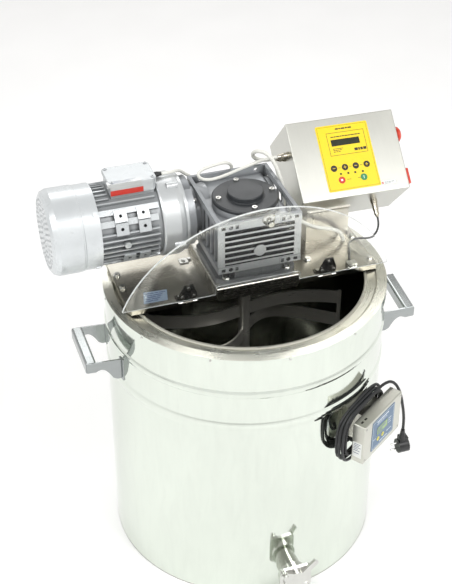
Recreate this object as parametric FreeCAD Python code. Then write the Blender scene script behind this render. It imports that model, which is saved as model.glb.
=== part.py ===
import FreeCAD, Part
import os
import math

os.makedirs("parts", exist_ok=True)
V = FreeCAD.Vector

# ---------------------------------------------------------------- driving dimensions (mm)
RIM_H = 760.0          # height of the drum's flat rim above the floor
DRUM_R = 350.0         # outer radius of the collar
JACKET_R = 348.0       # outer radius of the jacket sheet
JACKET_T = 2.0
TANK_R = 297.0         # inner radius of the heated inner tank
TANK_T = 2.0
TANK_DEPTH = 705.0     # rim to tank floor
BEADS = ((-92.0, -113.0), (-186.0, -216.0))    # swaged beads of the jacket, below the rim
HANDLE_Y = 77.0        # half width of a carrying handle
HANDLE_X = 428.0       # outer face of the grips
BRIDGE_T = 3.0
BRIDGE_TOP = 15.0
BRIDGE_FRONT = -86.0
BRIDGE_BACK = 150.0
BRIDGE_HX = 318.0
PED_TOP = 44.0         # pedestal under the gearbox
GZ = 157.0             # height of the gearbox centre above the rim
WORM_Y = 90.0          # centre distance of the worm gear
GB_X = 103.0
GB_Y0 = -103.0
GB_Y1 = 135.0
MOTOR_R = 105.0        # fan cowl radius
MOTOR_X0 = -470.0
LID_R = 352.0
LID_T = 5.0
LID_HY = -97.0         # lid hinge axis
LID_HZ = 19.0
LID_OPEN = 79.0        # opening of the lid above the horizontal, as stored
CON_P = V(149.5, 0.0, 170.7)     # lower front left corner of the console
CON_W, CON_H, CON_D = 280.0, 206.0, 166.0
CON_TILT = 43.4        # rotation of the console about X
CON_YAW = -2.0         # then about Z
CTL_PHI = -54.8        # azimuth of the heater controller
CTL_D = 417.0          # distance of its front face from the drum axis
CTL_W, CTL_H, CTL_T = 174.0, 115.0, 33.0
CTL_TOP = -231.0
VALVE_Z = -672.0       # outlet centre


# ---------------------------------------------------------------- helpers
def box(x0, x1, y0, y1, z0, z1):
    return Part.makeBox(x1 - x0, y1 - y0, z1 - z0, V(x0, y0, z0))


def cyl(x, y, z, r, h, d=(0, 0, 1)):
    return Part.makeCylinder(r, h, V(x, y, z), V(*d))


def tube(x, y, z, r0, r1, h, d=(0, 0, 1)):
    a = Part.makeCylinder(r1, h, V(x, y, z), V(*d))
    dd = V(*d)
    dd.normalize()
    b = Part.makeCylinder(r0, h + 2, V(x, y, z) - dd, V(*d))
    return a.cut(b)


def cone(x, y, z, r0, r1, h, d=(0, 0, 1)):
    return Part.makeCone(r0, r1, h, V(x, y, z), V(*d))


def fuse(items):
    items = list(items)
    s = items[0]
    if len(items) > 1:
        s = s.multiFuse(items[1:])
    return s.removeSplitter()


def cut(a, items):
    items = list(items)
    if not items:
        return a
    b = items[0] if len(items) == 1 else items[0].multiFuse(items[1:])
    return a.cut(b)


def prism(pts, vec):
    """closed polygon of 3-D points swept along vec"""
    w = Part.makePolygon([V(*p) for p in pts] + [V(*pts[0])])
    return Part.Face(w).extrude(V(*vec))


def revolve_z(pts):
    w = Part.makePolygon([V(r, 0, z) for r, z in pts] + [V(pts[0][0], 0, pts[0][1])])
    return Part.Face(w).revolve(V(0, 0, 0), V(0, 0, 1), 360)


def revolve_x(pts, y, z):
    """profile of (x, radius) turned about an axis parallel to X"""
    w = Part.makePolygon([V(x, y, z + r) for x, r in pts] + [V(pts[0][0], y, z + pts[0][1])])
    return Part.Face(w).revolve(V(0, y, z), V(1, 0, 0), 360)


def hexbolt(x, y, z, d=(0, 0, 1), af=13.0, h=5.5, washer=9.0, shank=4.0, down=0.0):
    """hexagon head on a washer; d points out of the head, down is the shank length"""
    dd = V(*d)
    dd.normalize()
    pts = []
    r = af / math.sqrt(3.0)
    for i in range(7):
        a = math.radians(60 * i)
        pts.append(V(r * math.cos(a), r * math.sin(a), 0))
    head = Part.Face(Part.makePolygon(pts)).extrude(V(0, 0, h))
    head = head.common(Part.makeSphere(r * 1.06, V(0, 0, h * 0.35)))
    head.translate(V(0, 0, 1.4))
    s = head.fuse(Part.makeCylinder(washer, 1.6))
    if down:
        s = s.fuse(Part.makeCylinder(shank, down + 1.0, V(0, 0, -down)))
    s = s.removeSplitter()
    s.Placement = FreeCAD.Placement(V(x, y, z), FreeCAD.Rotation(V(0, 0, 1), dd))
    return s


def capscrew(x, y, z, d=(0, 0, 1), r=6.5, h=6.0, sock=3.0):
    dd = V(*d)
    dd.normalize()
    s = Part.makeCylinder(r, h).cut(cyl(0, 0, h - 3.0, sock, 4.0))
    s.Placement = FreeCAD.Placement(V(x, y, z), FreeCAD.Rotation(V(0, 0, 1), dd))
    return s


def panscrew(x, y, z, d, r=3.2, h=2.0):
    dd = V(*d)
    dd.normalize()
    s = Part.makeCylinder(r, h * 0.5).fuse(Part.makeCone(r, r * 0.6, h * 0.5, V(0, 0, h * 0.5)))
    s = s.cut(Part.makeBox(r * 1.2, 0.8, 1.0, V(-r * 0.6, -0.4, h - 0.7)))
    s.Placement = FreeCAD.Placement(V(x, y, z), FreeCAD.Rotation(V(0, 0, 1), dd))
    return s


def cord(name, pts, r):
    """round tube along straight runs joined by tangent arcs"""
    P = [V(*p) for p in pts]
    edges = []
    last = P[0]
    radii = []
    for i in range(1, len(P) - 1):
        a = P[i - 1] - P[i]
        b = P[i + 1] - P[i]
        la, lb = a.Length, b.Length
        a.normalize()
        b.normalize()
        ang = math.pi - a.getAngle(b)
        T = 0.45 * min(la, lb)
        R = T / math.tan(ang / 2.0)
        radii.append(R)
        p0 = P[i] + a * T
        p1 = P[i] + b * T
        bis = a + b
        bis.normalize()
        mid = P[i] + bis * (R / math.cos(ang / 2.0) - R)      # halfway along the arc
        if (p0 - last).Length > 1e-6:
            edges.append(Part.LineSegment(last, p0).toShape())
        edges.append(Part.Arc(p0, mid, p1).toShape())
        last = p1
    edges.append(Part.LineSegment(last, P[-1]).toShape())
    w = Part.Wire(edges)
    d = P[1] - P[0]
    prof = Part.Wire([Part.Circle(P[0], d, r).toShape()])
    s = w.makePipeShell([prof], True, False)
    print(name, "length %.0f" % w.Length, "radii", " ".join("%.0f" % q for q in radii),
          "volume ratio %.3f" % (s.Volume / (math.pi * r * r * w.Length)))
    return s


NODES = {}


def put(name, shape):
    s = shape.copy()
    s.translate(V(0, 0, RIM_H))
    NODES[name] = s


# ---------------------------------------------------------------- drum
def bead_points(r0, sign=1):
    pts = []
    for z0, z1 in BEADS:
        for k in range(0, 9):
            a = k / 8.0
            pts.append((r0 + 3.0 * math.sin(math.pi * a) ** 1.0, z0 + (z1 - z0) * a))
    return pts


outer = [(JACKET_R, -25.0)] + bead_points(JACKET_R) + [(JACKET_R, -RIM_H + 3.0)]
inner = [(r - JACKET_T, z) for r, z in outer]
jacket = revolve_z(outer + inner[::-1])
neck_hole = cyl(0, -430, VALVE_Z, 29.0, 200, (0, 1, 0))
ctl_n = V(math.cos(math.radians(CTL_PHI)), math.sin(math.radians(CTL_PHI)), 0)
ctl_t = V(-math.sin(math.radians(CTL_PHI)), math.cos(math.radians(CTL_PHI)), 0)
jacket = jacket.cut(neck_hole)
put("outer_jacket", jacket)

base = cyl(0, 0, -RIM_H, 344.0, 3.0).fuse(tube(0, 0, -RIM_H, 340.0, JACKET_R, 3.0))
put("base_plate", base.removeSplitter())

tank = revolve_z([(0, -TANK_DEPTH - TANK_T), (TANK_R - 16, -TANK_DEPTH - TANK_T),
                  (TANK_R - 2, -TANK_DEPTH + 4), (TANK_R + TANK_T, -TANK_DEPTH + 18),
                  (TANK_R + TANK_T, -6.0), (TANK_R, -6.0), (TANK_R, -TANK_DEPTH + 19),
                  (TANK_R - 4, -TANK_DEPTH + 6.5), (TANK_R - 17, -TANK_DEPTH), (0, -TANK_DEPTH)])
neck = tube(0, -400, VALVE_Z, 26.0, 29.0, 400 - 292.5, (0, 1, 0))
tank = tank.cut(cyl(0, -430, VALVE_Z, 26.0, 200, (0, 1, 0)))
tank = fuse([tank, neck])
put("inner_tank", tank)

rim = revolve_z([(350.0, 0), (326.0, 0), (322.0, -3.0), (302.0, -5.0), (300.2, -1.8), (297.6, -0.6),
                 (295.0, -1.6), (294.0, -4.0), (295.0, -6.0), (297.0, -6.0), (299.0, -6.0), (300.0, -7.0),
                 (303.0, -7.0), (322.5, -5.2), (326.5, -2.0), (348.4, -2.0), (348.4, -23.0), (346.0, -25.0),
                 (JACKET_R, -25.0), (350.0, -25.0)])
BRIDGE_BOLTS = ((-306.0, 68.0), (-306.0, 14.0), (307.0, 51.0), (310.0, -53.0))
rim = cut(rim, [cyl(x, y, -20, 4.2, 40) for x, y in BRIDGE_BOLTS])
put("rim_ring", rim)

screws = []
for k in range(12):
    a = math.radians(-92.0 + 30.0 * k)
    screws.append(panscrew(DRUM_R * math.cos(a), DRUM_R * math.sin(a), -6.0,
                           (math.cos(a), math.sin(a), 0), 3.0, 1.8))

ins = tube(0, 0, -690, 305.0, 343.0, 655)
ins = ins.cut(cyl(0, -430, VALVE_Z, 31.0, 200, (0, 1, 0)))
put("insulation_blanket", ins)
put("heating_band", Part.makeCompound([tube(0, 0, z, 299.1, 303.0, 120) for z in (-600, -440, -280)]))

# carrying handles: two flat arms with a curved cut-out below and a folded channel grip
def handle(sx):
    arms = []
    for y0, y1 in ((-HANDLE_Y, -HANDLE_Y + 4), (HANDLE_Y - 4, HANDLE_Y)):
        pts = [(330, y0, -128), (HANDLE_X - 2, y0, -122), (HANDLE_X - 2, y0, -150), (HANDLE_X - 24, y0, -152)]
        cx0, cx1 = HANDLE_X - 24, 362.0
        for k in range(1, 8):
            q = k / 8.0
            pts.append((cx0 + (cx1 - cx0) * q, y0, -152 + 9 * math.sin(math.pi * q) - 26 * q * q))
        pts += [(362, y0, -178), (352, y0, -184), (330, y0, -184)]
        arms.append(prism(pts, (0, y1 - y0, 0)))
    g = box(HANDLE_X - 27, HANDLE_X, -HANDLE_Y + 2, HANDLE_Y - 2, -150, -122)
    g = g.makeFillet(6.0, [e for e in g.Edges if abs(e.Vertexes[0].Z + 122) < .01 and abs(e.Vertexes[1].Z + 122) < .01
                           and abs(e.Vertexes[0].X - e.Vertexes[1].X) < .01])
    g = g.cut(box(HANDLE_X - 24, HANDLE_X - 3, -HANDLE_Y + 5, HANDLE_Y - 5, -151, -126))
    feet = []
    for y0, y1 in ((-HANDLE_Y - 9, -HANDLE_Y + 9), (HANDLE_Y - 9, HANDLE_Y + 9)):
        feet.append(box(330, 347, y0, y1, -186, -124))
    foot = fuse(feet).common(tube(0, 0, -190, JACKET_R, JACKET_R + 2.5, 70))
    s = fuse(arms + [g] + foot.Solids)
    s = s.cut(cyl(0, 0, -190, JACKET_R, 75))
    if sx < 0:
        s = s.mirror(V(0, 0, 0), V(1, 0, 0))
    return s


h_right = handle(1)
h_right.rotate(V(0, 0, 0), V(0, 0, 1), -4.5)
put("carry_handles", Part.makeCompound([h_right, handle(-1)]))

# honey gate at the foot of the drum
gb = box(-42, 42, -407, -399.5, VALVE_Z - 42, VALVE_Z + 42)
gb = gb.makeFillet(10.0, [e for e in gb.Edges if abs(e.Vertexes[0].Y - e.Vertexes[1].Y) > 5])
gb = fuse([gb, tube(0, -400, VALVE_Z, 29.0, 36.0, 22, (0, 1, 0))])
gb = gb.cut(cyl(0, -430, VALVE_Z, 26.0, 60, (0, 1, 0)))
gb = gb.cut(cyl(0, -400, VALVE_Z, 29.0, 40, (0, 1, 0)))
PIV = (-31.0, VALVE_Z + 31.0)
gb = fuse([gb, cyl(PIV[0], -422, PIV[1], 4.0, 18, (0, 1, 0)), cyl(PIV[0], -424, PIV[1], 7.0, 4, (0, 1, 0)),
           cyl(33, -424, VALVE_Z - 31, 4.0, 20, (0, 1, 0)),
           box(28, 38, -426, -420, VALVE_Z - 46, VALVE_Z - 22)])
put("gate_body", gb)
blade = cyl(0, -415, VALVE_Z, 31.0, 7.6, (0, 1, 0))
blade = fuse([blade, cyl(PIV[0], -415, PIV[1], 10.0, 7.6, (0, 1, 0)),
              prism([(PIV[0] - 6, -415, PIV[1] - 8), (PIV[0] + 8, -415, PIV[1] + 6), (10, -415, VALVE_Z + 22),
                     (-22, -415, VALVE_Z - 10)], (0, 7.6, 0)),
              prism([(8, -415, VALVE_Z + 20), (20, -415, VALVE_Z + 8), (58, -415, VALVE_Z + 50),
                     (48, -415, VALVE_Z + 60)], (0, 7.6, 0))])
blade = blade.cut(cyl(PIV[0], -420, PIV[1], 4.06, 20, (0, 1, 0)))
put("gate_blade", blade)

# ---------------------------------------------------------------- bridge
def bridge_outline(inset, z):
    h = BRIDGE_HX - inset
    f = BRIDGE_FRONT + inset
    b = BRIDGE_BACK - inset
    return [(-h + 6, f, z), (h - 4, f, z), (h, f + 8, z), (h, b - 30, z), (h - 34, b, z), (-h + 34, b, z),
            (-h, b - 30, z), (-h, f + 14, z)]


top = prism(bridge_outline(0, BRIDGE_TOP - BRIDGE_T), (0, 0, BRIDGE_T))
skirt = prism(bridge_outline(0, 2.2), (0, 0, BRIDGE_TOP - 2.2 - 1)).cut(
    prism(bridge_outline(BRIDGE_T, 1.0), (0, 0, 20)))
sides = [box(-BRIDGE_HX, -BRIDGE_HX + 3, -60, 110, 0.0, 4.0), box(BRIDGE_HX - 3, BRIDGE_HX, -60, 110, 0.0, 4.0)]
bridge = fuse([top, skirt] + sides)
bridge = cut(bridge, [cyl(x, y, -5, 4.2, 30) for x, y in BRIDGE_BOLTS] + [cyl(0, 0, 0, 34, 40)])
bridge = fuse([bridge])
put("bridge_plate", bridge)

rear = cyl(0, 0, 0, 345.0, 2.0).common(box(-400, 400, 140, 400, -5, 5))
rear = fuse([rear, box(-150, 150, 141, 146.8, 1.0, 11.8)])
put("rear_cover", rear)

bolts = [hexbolt(x, y, BRIDGE_TOP, down=26.0, shank=4.0) for x, y in BRIDGE_BOLTS]
bolts.append(hexbolt(161.0, -10.0, BRIDGE_TOP, af=13, washer=10))
bolts.append(fuse([box(-145, -123, 69, 91, BRIDGE_TOP, BRIDGE_TOP + 3), cyl(-134, 80, BRIDGE_TOP, 4.5, 7)]))
bolts.append(hexbolt(-118.0, 83.0, BRIDGE_TOP, af=8, h=4, washer=6))
put("bridge_bolts", Part.makeCompound(bolts))

# inverted channel under the gearbox
ped = box(-105, 102, -105, 137, BRIDGE_TOP, PED_TOP)
ped = ped.makeFillet(4.0, [e for e in ped.Edges if abs(e.Vertexes[0].Z - PED_TOP) < .01
                           and abs(e.Vertexes[1].Z - PED_TOP) < .01])
ped = ped.cut(box(-102, 99, -102, 138, BRIDGE_TOP - 1, PED_TOP - 3))
ped = ped.cut(cyl(0, 0, 0, 34, 80))
ped = ped.cut(box(-99, -88, -106, -101, 26, 38))
ped = fuse([ped, box(-102, -74, -86, 130, BRIDGE_TOP, BRIDGE_TOP + 3), box(71, 99, -86, 130, BRIDGE_TOP, BRIDGE_TOP + 3)])
# the part of the front wall in front of the bridge plate hangs down as a short lip
ped = fuse([ped, box(-103, 100, -105, -102, 9, 20)])
put("gearbox_pedestal", ped)

# ---------------------------------------------------------------- gearbox
fl = box(-100, 100, -96, 100, PED_TOP, PED_TOP + 14)
fl = fl.makeChamfer(22.0, [e for e in fl.Edges if abs(e.Vertexes[0].Z - e.Vertexes[1].Z) > 10])
fl = fuse([fl, cyl(0, 0, PED_TOP + 10, 78, 38), box(12, 18, -90, -60, PED_TOP + 10, PED_TOP + 40),
           box(-84, -76, -52, 52, PED_TOP + 10, PED_TOP + 32), box(76, 84, -52, 52, PED_TOP + 10, PED_TOP + 32),
           box(-56, 60, -88, -80, PED_TOP + 12, PED_TOP + 40)])
fl = fl.cut(cyl(0, 0, PED_TOP - 5, 34.0, 80))
put("output_flange", fl)
FB = 76.0

# cast housing: two foot frames front and back, joined by corner ribs, finned block between
Z0, Z1 = 86.0, 221.0
front = box(-GB_X, GB_X, GB_Y0, GB_Y0 + 7, Z0, Z1)
back = box(-GB_X, GB_X, GB_Y1 - 8, GB_Y1, Z0, Z1)
core = box(-90, 90, GB_Y0 + 5, GB_Y1 - 5, 92, 200)
core = core.makeFillet(10.0, [e for e in core.Edges if abs(e.Vertexes[0].Y - e.Vertexes[1].Y) > 100])
ribs = []
for x0, x1 in ((-GB_X, -GB_X + 9), (GB_X - 9, GB_X)):
    ribs.append(box(x0, x1, GB_Y0, GB_Y1, Z1 - 16, Z1))
    ribs.append(box(x0, x1, GB_Y0, GB_Y1, Z0, Z0 + 14))
for x in (-98, 93):
    for y in (-62, -30, 2, 34, 120):
        ribs.append(box(x, x + 5, y - 3, y + 3, Z0 + 2, Z1 - 8))
front = cut(front, [box(-86, 86, GB_Y0 - 2, GB_Y0 + 5, 106, 200)])
fins = [box(-88, 88, GB_Y0 - 0.5, GB_Y0 + 8, z, z + 5.0) for z in (110, 125, 140, 155, 170, 185)]
pads = []
for sx in (-1, 1):
    for z0, z1 in ((86, 105), (201, 221)):
        pads.append(box(min(sx * 50, sx * 103), max(sx * 50, sx * 103), GB_Y0 - 2.0, GB_Y0 + 3, z0 + 1, z1 - 1))
boss = [cyl(0, 0, 196, 80, 20), cyl(0, GB_Y0 - 3, 136, 15, 12, (0, 1, 0)),
        cyl(-138, WORM_Y, GZ, 84, 20, (1, 0, 0)), cyl(85, WORM_Y, GZ, 46, 13, (1, 0, 0)),
        cyl(-120, WORM_Y, GZ, 58, 50, (1, 0, 0))]
housing = fuse([core, front, back] + ribs + fins + pads + boss)
holes = [cyl(0, 0, 60, 32, 140), cyl(0, 0, 127, 75, 62), cyl(-130, WORM_Y, GZ, 30, 260, (1, 0, 0)),
         cyl(-139, WORM_Y, GZ, 52, 30, (1, 0, 0)), cyl(0, 0, 94, 50, 18), cyl(0, 0, 189, 50, 26.9)]
for sx in (-1, 1):
    for z in (95.5, 211):
        holes.append(cyl(sx * 72, GB_Y0 - 5, z, 5.5, 22, (0, 1, 0)))
        holes.append(box(sx * 90 - 5, sx * 90 + 5, GB_Y0 - 5, GB_Y0 + 5, z - 4, z + 4))
        holes.append(box(sx * 57 - 4, sx * 57 + 4, GB_Y0 - 5, GB_Y0 + 2, z - 5, z + 5))
        holes.append(cyl(sx * 72, GB_Y1 - 10, z, 5.5, 22, (0, 1, 0)))
housing = cut(housing, holes)
put("gearbox_housing", housing)

cov = revolve_z([(0, 216), (80, 216), (80, 222), (77, 225), (46, 225), (45, 227), (43.5, 227), (43, 236), (41, 238), (0, 238)])
put("gearbox_cover", cov)
PC = 67.0
gbolts = []
for a in (0, 90, 180, 270):
    x, y = PC * math.cos(math.radians(a)), PC * math.sin(math.radians(a))
    gbolts.append(capscrew(x, y, 225.0))
fb = [hexbolt(sx * FB, sy * FB - (6 if sy < 0 else -2), PED_TOP + 14, af=16, h=7, washer=10.5) for sx in (-1, 1) for sy in (-1, 1)]
for k in range(4):
    a = math.radians(45 + 90 * k)
    fb.append(hexbolt(-118.0, WORM_Y + 72 * math.cos(a), GZ + 72 * math.sin(a), (1, 0, 0), af=13, h=6, washer=8.5))
put("gearbox_bolts", Part.makeCompound(fb + gbolts))

# bearings of the worm and of the output shaft
brg = [tube(0, 0, 95, 28.05, 49.9, 16), tube(0, 0, 191, 28.05, 49.9, 16),
       tube(-88, WORM_Y, GZ, 18.05, 29.9, 14, (1, 0, 0)), tube(74, WORM_Y, GZ, 18.05, 29.9, 14, (1, 0, 0)),
       tube(-184, WORM_Y, GZ, 14.05, 30.9, 15, (1, 0, 0)), tube(-368, WORM_Y, GZ, 14.05, 25.9, 13, (1, 0, 0))]
put("shaft_bearings", Part.makeCompound(brg))

# worm wheel: bronze rim with a throat that follows the worm, on the steel output shaft
wheel = revolve_z([(30.0, GZ - 24), (70.0, GZ - 24), (73.0, GZ - 19), (73.0, GZ + 19), (70.0, GZ + 24), (30.0, GZ + 24)])
throat = Part.makeTorus(WORM_Y, 24.6, V(0, 0, GZ), V(0, 0, 1))
wheel = wheel.cut(throat)
put("worm_wheel", wheel)
osh = revolve_z([(0, 30), (28.0, 30), (28.0, GZ - 24), (30.0, GZ - 24), (30.0, GZ + 24), (28.0, GZ + 24), (28.0, 209), (0, 209)])
osh = osh.cut(cyl(0, 0, 29, 15.0, 71))
put("output_shaft", osh)
worm = revolve_x([(-95, 14.0), (-95, 18.0), (-60, 18.0), (-46, 22.0), (-40, 24.0), (40, 24.0), (46, 22.0), (60, 18.0),
                  (92, 18.0), (92, 0.0), (-34, 0.0), (-34, 14.0)], WORM_Y, GZ)
put("worm_shaft", worm)

# ---------------------------------------------------------------- motor
X_SH = -138.0
shield = revolve_x([(-202, 92), (-202, 99), (-198, 101), (-160, 101), (-150, 98), (-144, 94), (X_SH, 94), (X_SH, 32),
                    (-160, 32), (-160, 31), (-184, 31), (-184, 45), (-194, 78), (-194, 92)], WORM_Y, GZ)
sb = []
for k in range(4):
    a = math.radians(20 + 90 * k)
    sb.append(cyl(-178, WORM_Y + 98 * math.cos(a), GZ + 98 * math.sin(a), 9, 26, (1, 0, 0)))
shield = fuse([shield] + sb)
shield = shield.cut(revolve_x([(-203, 0), (-203, 78), (-194.5, 78), (-185, 45), (-184.01, 31), (-137, 31), (-137, 0)], WORM_Y, GZ))
put("motor_end_shield", shield)

mh = revolve_x([(-368, 90), (-202, 90), (-202, 78), (-352, 78), (-352, 32), (-355, 26), (-368, 26)], WORM_Y, GZ)
finset = []
NF = 40
for k in range(NF):
    a = 360.0 * k / NF + 4.5
    th = (a - 90 + 180) % 360 - 180
    if min(abs((th - q + 180) % 360 - 180) for q in (45, 135, 225, 315)) < 6 or abs(th - 61) < 7:
        continue
    x1 = -319 if abs(th) < 24 else -212
    f = box(-352, x1, WORM_Y - 1.7, WORM_Y + 1.7, GZ + 86, GZ + (95 if abs(th) < 24 else 99))
    f.rotate(V(0, WORM_Y, GZ), V(1, 0, 0), th)
    finset.append(f)
# broad flat rib between the foot bosses
f = box(-352, -212, WORM_Y - 7.5, WORM_Y + 7.5, GZ + 84, GZ + 98)
f.rotate(V(0, WORM_Y, GZ), V(1, 0, 0), 61)
finset.append(f)
for k in range(4):
    f = box(-360, -208, WORM_Y - 7, WORM_Y + 7, GZ + 84, GZ + 99)
    f.rotate(V(0, WORM_Y, GZ), V(1, 0, 0), 45 + 90 * k)
    finset.append(f)
# foot bosses on the side facing the open half of the drum
for ang, xs in ((52.0, ((-317, -287), (-262, -233))), (70.0, ((-317, -287), (-262, -233))), (121.5, ((-300, -272), (-262, -236)))):
    for xa, xb in xs:
        f = box(xa, xb, WORM_Y - 14.5, WORM_Y + 14.5, GZ + 84, GZ + 101)
        f = f.cut(cyl((xa + xb) / 2.0, WORM_Y, GZ + 90, 4.0, 20))
        f.rotate(V(0, WORM_Y, GZ), V(1, 0, 0), ang)
        finset.append(f)
eb = cyl(-292, WORM_Y, GZ + 84, 8, 18)
eb.rotate(V(0, WORM_Y, GZ), V(1, 0, 0), 94.5)
finset.append(eb)
mh = fuse([mh, box(-312, -208, 56, 124, GZ + 60, 250)] + finset)
mh = mh.cut(cyl(-352, WORM_Y, GZ, 78, 160, (1, 0, 0)))
mh = fuse([mh])
put("motor_housing", mh)

cowl = revolve_x([(-352, 101.5), (-352, 103), (-391, 103), (-393, 104.4), (-395.5, 104.4), (-397, 105), (-452, 105), (-464, 100),
                  (MOTOR_X0, 90), (MOTOR_X0, 0), (MOTOR_X0 + 1.5, 0), (MOTOR_X0 + 1.5, 89.3), (-462.8, 98.8), (-451.5, 103.5),
                  (-397.5, 103.5), (-395, 102.9), (-393.4, 102.9), (-391.6, 101.5)], WORM_Y, GZ)
hl = []
for ring, nr in ((18, 8), (31, 14), (44, 20), (57, 26), (70, 32), (82, 38)):
    for k in range(nr):
        a = 2 * math.pi * (k + 0.5 * (nr % 4 == 0)) / nr
        hl.append(cyl(MOTOR_X0 - 3, WORM_Y + ring * math.cos(a), GZ + ring * math.sin(a), 3.6, 8, (1, 0, 0)))
cowl = cowl.cut(Part.makeCompound(hl))
lug = []
for k in range(4):
    a = 45 + 90 * k
    f = box(-366, -355, WORM_Y - 6, WORM_Y + 6, GZ + 99, GZ + 105)
    f.rotate(V(0, WORM_Y, GZ), V(1, 0, 0), a)
    lug.append(f)
cowl = fuse([cowl] + lug)
# the terminal box platform passes under the cowl's edge: the edge is notched there
put("fan_cowl", cowl)

stator = tube(-340, WORM_Y, GZ, 50.0, 78.0, 110, (1, 0, 0))
wind = [tube(-350, WORM_Y, GZ, 52.0, 72.0, 10, (1, 0, 0)), tube(-230, WORM_Y, GZ, 52.0, 72.0, 16, (1, 0, 0))]
put("motor_stator", fuse([stator] + wind))
rotor = revolve_x([(-446, 0), (-446, 12.0), (-412, 12.0), (-412, 14.0), (-336, 14.0), (-336, 49.4), (-234, 49.4), (-234, 14.0),
                   (-34.0, 14.0), (-34.0, 0)], WORM_Y, GZ)
put("motor_rotor", rotor)
fan = [tube(-442, WORM_Y, GZ, 12.0, 22.0, 26, (1, 0, 0)), tube(-418, WORM_Y, GZ, 12.0, 84.0, 3, (1, 0, 0))]
for k in range(8):
    f = box(-440, -416, WORM_Y - 1.5, WORM_Y + 1.5, GZ + 20, GZ + 84)
    f.rotate(V(0, WORM_Y, GZ), V(1, 0, 0), 45 * k)
    fan.append(f)
fan = fuse(fan).cut(cyl(-450, WORM_Y, GZ, 12.0, 50, (1, 0, 0)))
put("cooling_fan", fan)

tb = box(-314, -204, 52, 128, 250, 274)
tb = tb.makeFillet(8.0, [e for e in tb.Edges if abs(e.Vertexes[0].Z - e.Vertexes[1].Z) > 10])
tb = tb.cut(box(-310, -208, 56, 124, 253, 275))
for y in (64, 74, 110, 120):
    tb = tb.fuse(box(-204, -200, y - 2, y + 2, 259, 273))
tb = tb.cut(cyl(-210, 91, 266, 5.0, 20, (1, 0, 0)))
tb = tb.removeSplitter()
put("terminal_box", tb)
tl = box(-317, -201, 48, 132, 274, 283)
tl = tl.makeFillet(12.0, [e for e in tl.Edges if abs(e.Vertexes[0].Z - e.Vertexes[1].Z) > 5])
tl = tl.makeFillet(2.5, [e for e in tl.Edges if abs(e.BoundBox.ZMin - 283) < .01])
tl = fuse([tl] + [cyl(x, y, 282, 4.5, 3) for x in (-308, -210) for y in (57, 123)])
tl = cut(tl, [cyl(x, y, 283.6, 2.2, 3) for x in (-308, -210) for y in (57, 123)])
put("terminal_box_lid", tl)

# ---------------------------------------------------------------- lid
def lid_place(s):
    s = s.copy()
    s.rotate(V(0, LID_HY, LID_HZ), V(1, 0, 0), -LID_OPEN)
    return s


sheet = cyl(0, 0, LID_HZ - LID_T / 2, LID_R, LID_T).common(box(-400, 400, -400, LID_HY - 7, 0, 60))
notch = box(-108, 106, LID_HY - 34, LID_HY + 5, 0, 60)
notch = notch.makeFillet(8.0, [e for e in notch.Edges if abs(e.Vertexes[0].Z - e.Vertexes[1].Z) > 10
                               and e.Vertexes[0].Y < LID_HY - 20])
sheet = sheet.cut(notch)
HX = (-176.0, 178.0)
lt = LID_HZ + LID_T / 2
knob_y = LID_HY - 207.0
lid_holes = [cyl(15, knob_y, 0, 3.2, 60)]
LB = ((0, -46), (-14, -20), (14, -20))
for hx in HX:
    for dx, dy in LB:
        lid_holes.append(cyl(hx + dx, LID_HY + dy, 0, 2.7, 60))
sheet = cut(sheet, lid_holes)
put("front_lid", lid_place(sheet))
leaves = []
for hx in HX:
    plate = prism([(hx - 10, LID_HY - 57, lt), (hx + 10, LID_HY - 57, lt), (hx + 22, LID_HY - 26, lt), (hx + 22, LID_HY - 12, lt),
                   (hx + 11.5, LID_HY - 4, lt), (hx - 11.5, LID_HY - 4, lt), (hx - 22, LID_HY - 12, lt), (hx - 22, LID_HY - 26, lt)], (0, 0, 2.0))
    kn = cyl(hx - 11.5, LID_HY, LID_HZ, 4.5, 23, (1, 0, 0))
    s = fuse([plate, kn, box(hx - 11.5, hx + 11.5, LID_HY - 5, LID_HY, LID_HZ + 2.5, LID_HZ + 4.5)])
    s = s.cut(cyl(hx - 30, LID_HY, LID_HZ, 2.56, 60, (1, 0, 0)))
    for dx, dy in LB:
        s = s.fuse(cyl(hx + dx, LID_HY + dy, lt + 1.5, 4.6, 4.5))
        s = s.fuse(cyl(hx + dx, LID_HY + dy, lt - LID_T - 3.2, 2.5, LID_T + 6))
        s = s.fuse(cyl(hx + dx, LID_HY + dy, lt - LID_T - 3.2, 4.6, 3.2))
    leaves.append(lid_place(s.removeSplitter()))
put("lid_hinge_leaves", Part.makeCompound(leaves))
prof = [(0, lt), (9, lt), (9, lt + 2), (5, lt + 4), (5, lt + 9), (15, lt + 12), (16, lt + 16), (13, lt + 19.5), (0, lt + 20.5)]
kb = revolve_z(prof)
kb = kb.fuse(cyl(0, 0, lt - LID_T - 2.5, 3.0, LID_T + 4)).fuse(cyl(0, 0, lt - LID_T - 2.5, 7.0, 2.5)).removeSplitter()
kb.translate(V(15, knob_y, 0))
put("lid_knob", lid_place(kb))
base_l = []
for hx in HX:
    s = [box(hx - 22, hx + 22, -89, -58, BRIDGE_TOP, BRIDGE_TOP + 2.5)]
    for x0 in (hx - 22, hx + 12):
        s.append(cyl(x0, LID_HY, LID_HZ, 4.5, 10, (1, 0, 0)))
        s.append(box(x0, x0 + 10, LID_HY, -86, BRIDGE_TOP, BRIDGE_TOP + 3.0))
    s.append(cyl(hx - 24, LID_HY, LID_HZ, 2.5, 48, (1, 0, 0)))
    for dx in (-13, 13):
        s.append(cyl(hx + dx, -68, BRIDGE_TOP + 2, 5.0, 5.0))
    base_l.append(fuse(s))
put("lid_hinge_base", Part.makeCompound(base_l))
sens = fuse([box(240, 264, -82, -64, BRIDGE_TOP, BRIDGE_TOP + 13), cyl(245, -88, 26, 4.0, 8, (0, 1, 0)),
             box(238, 266, -90, -86, 3, 17), box(240, 264, -90, -80, 15, 18)])
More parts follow.
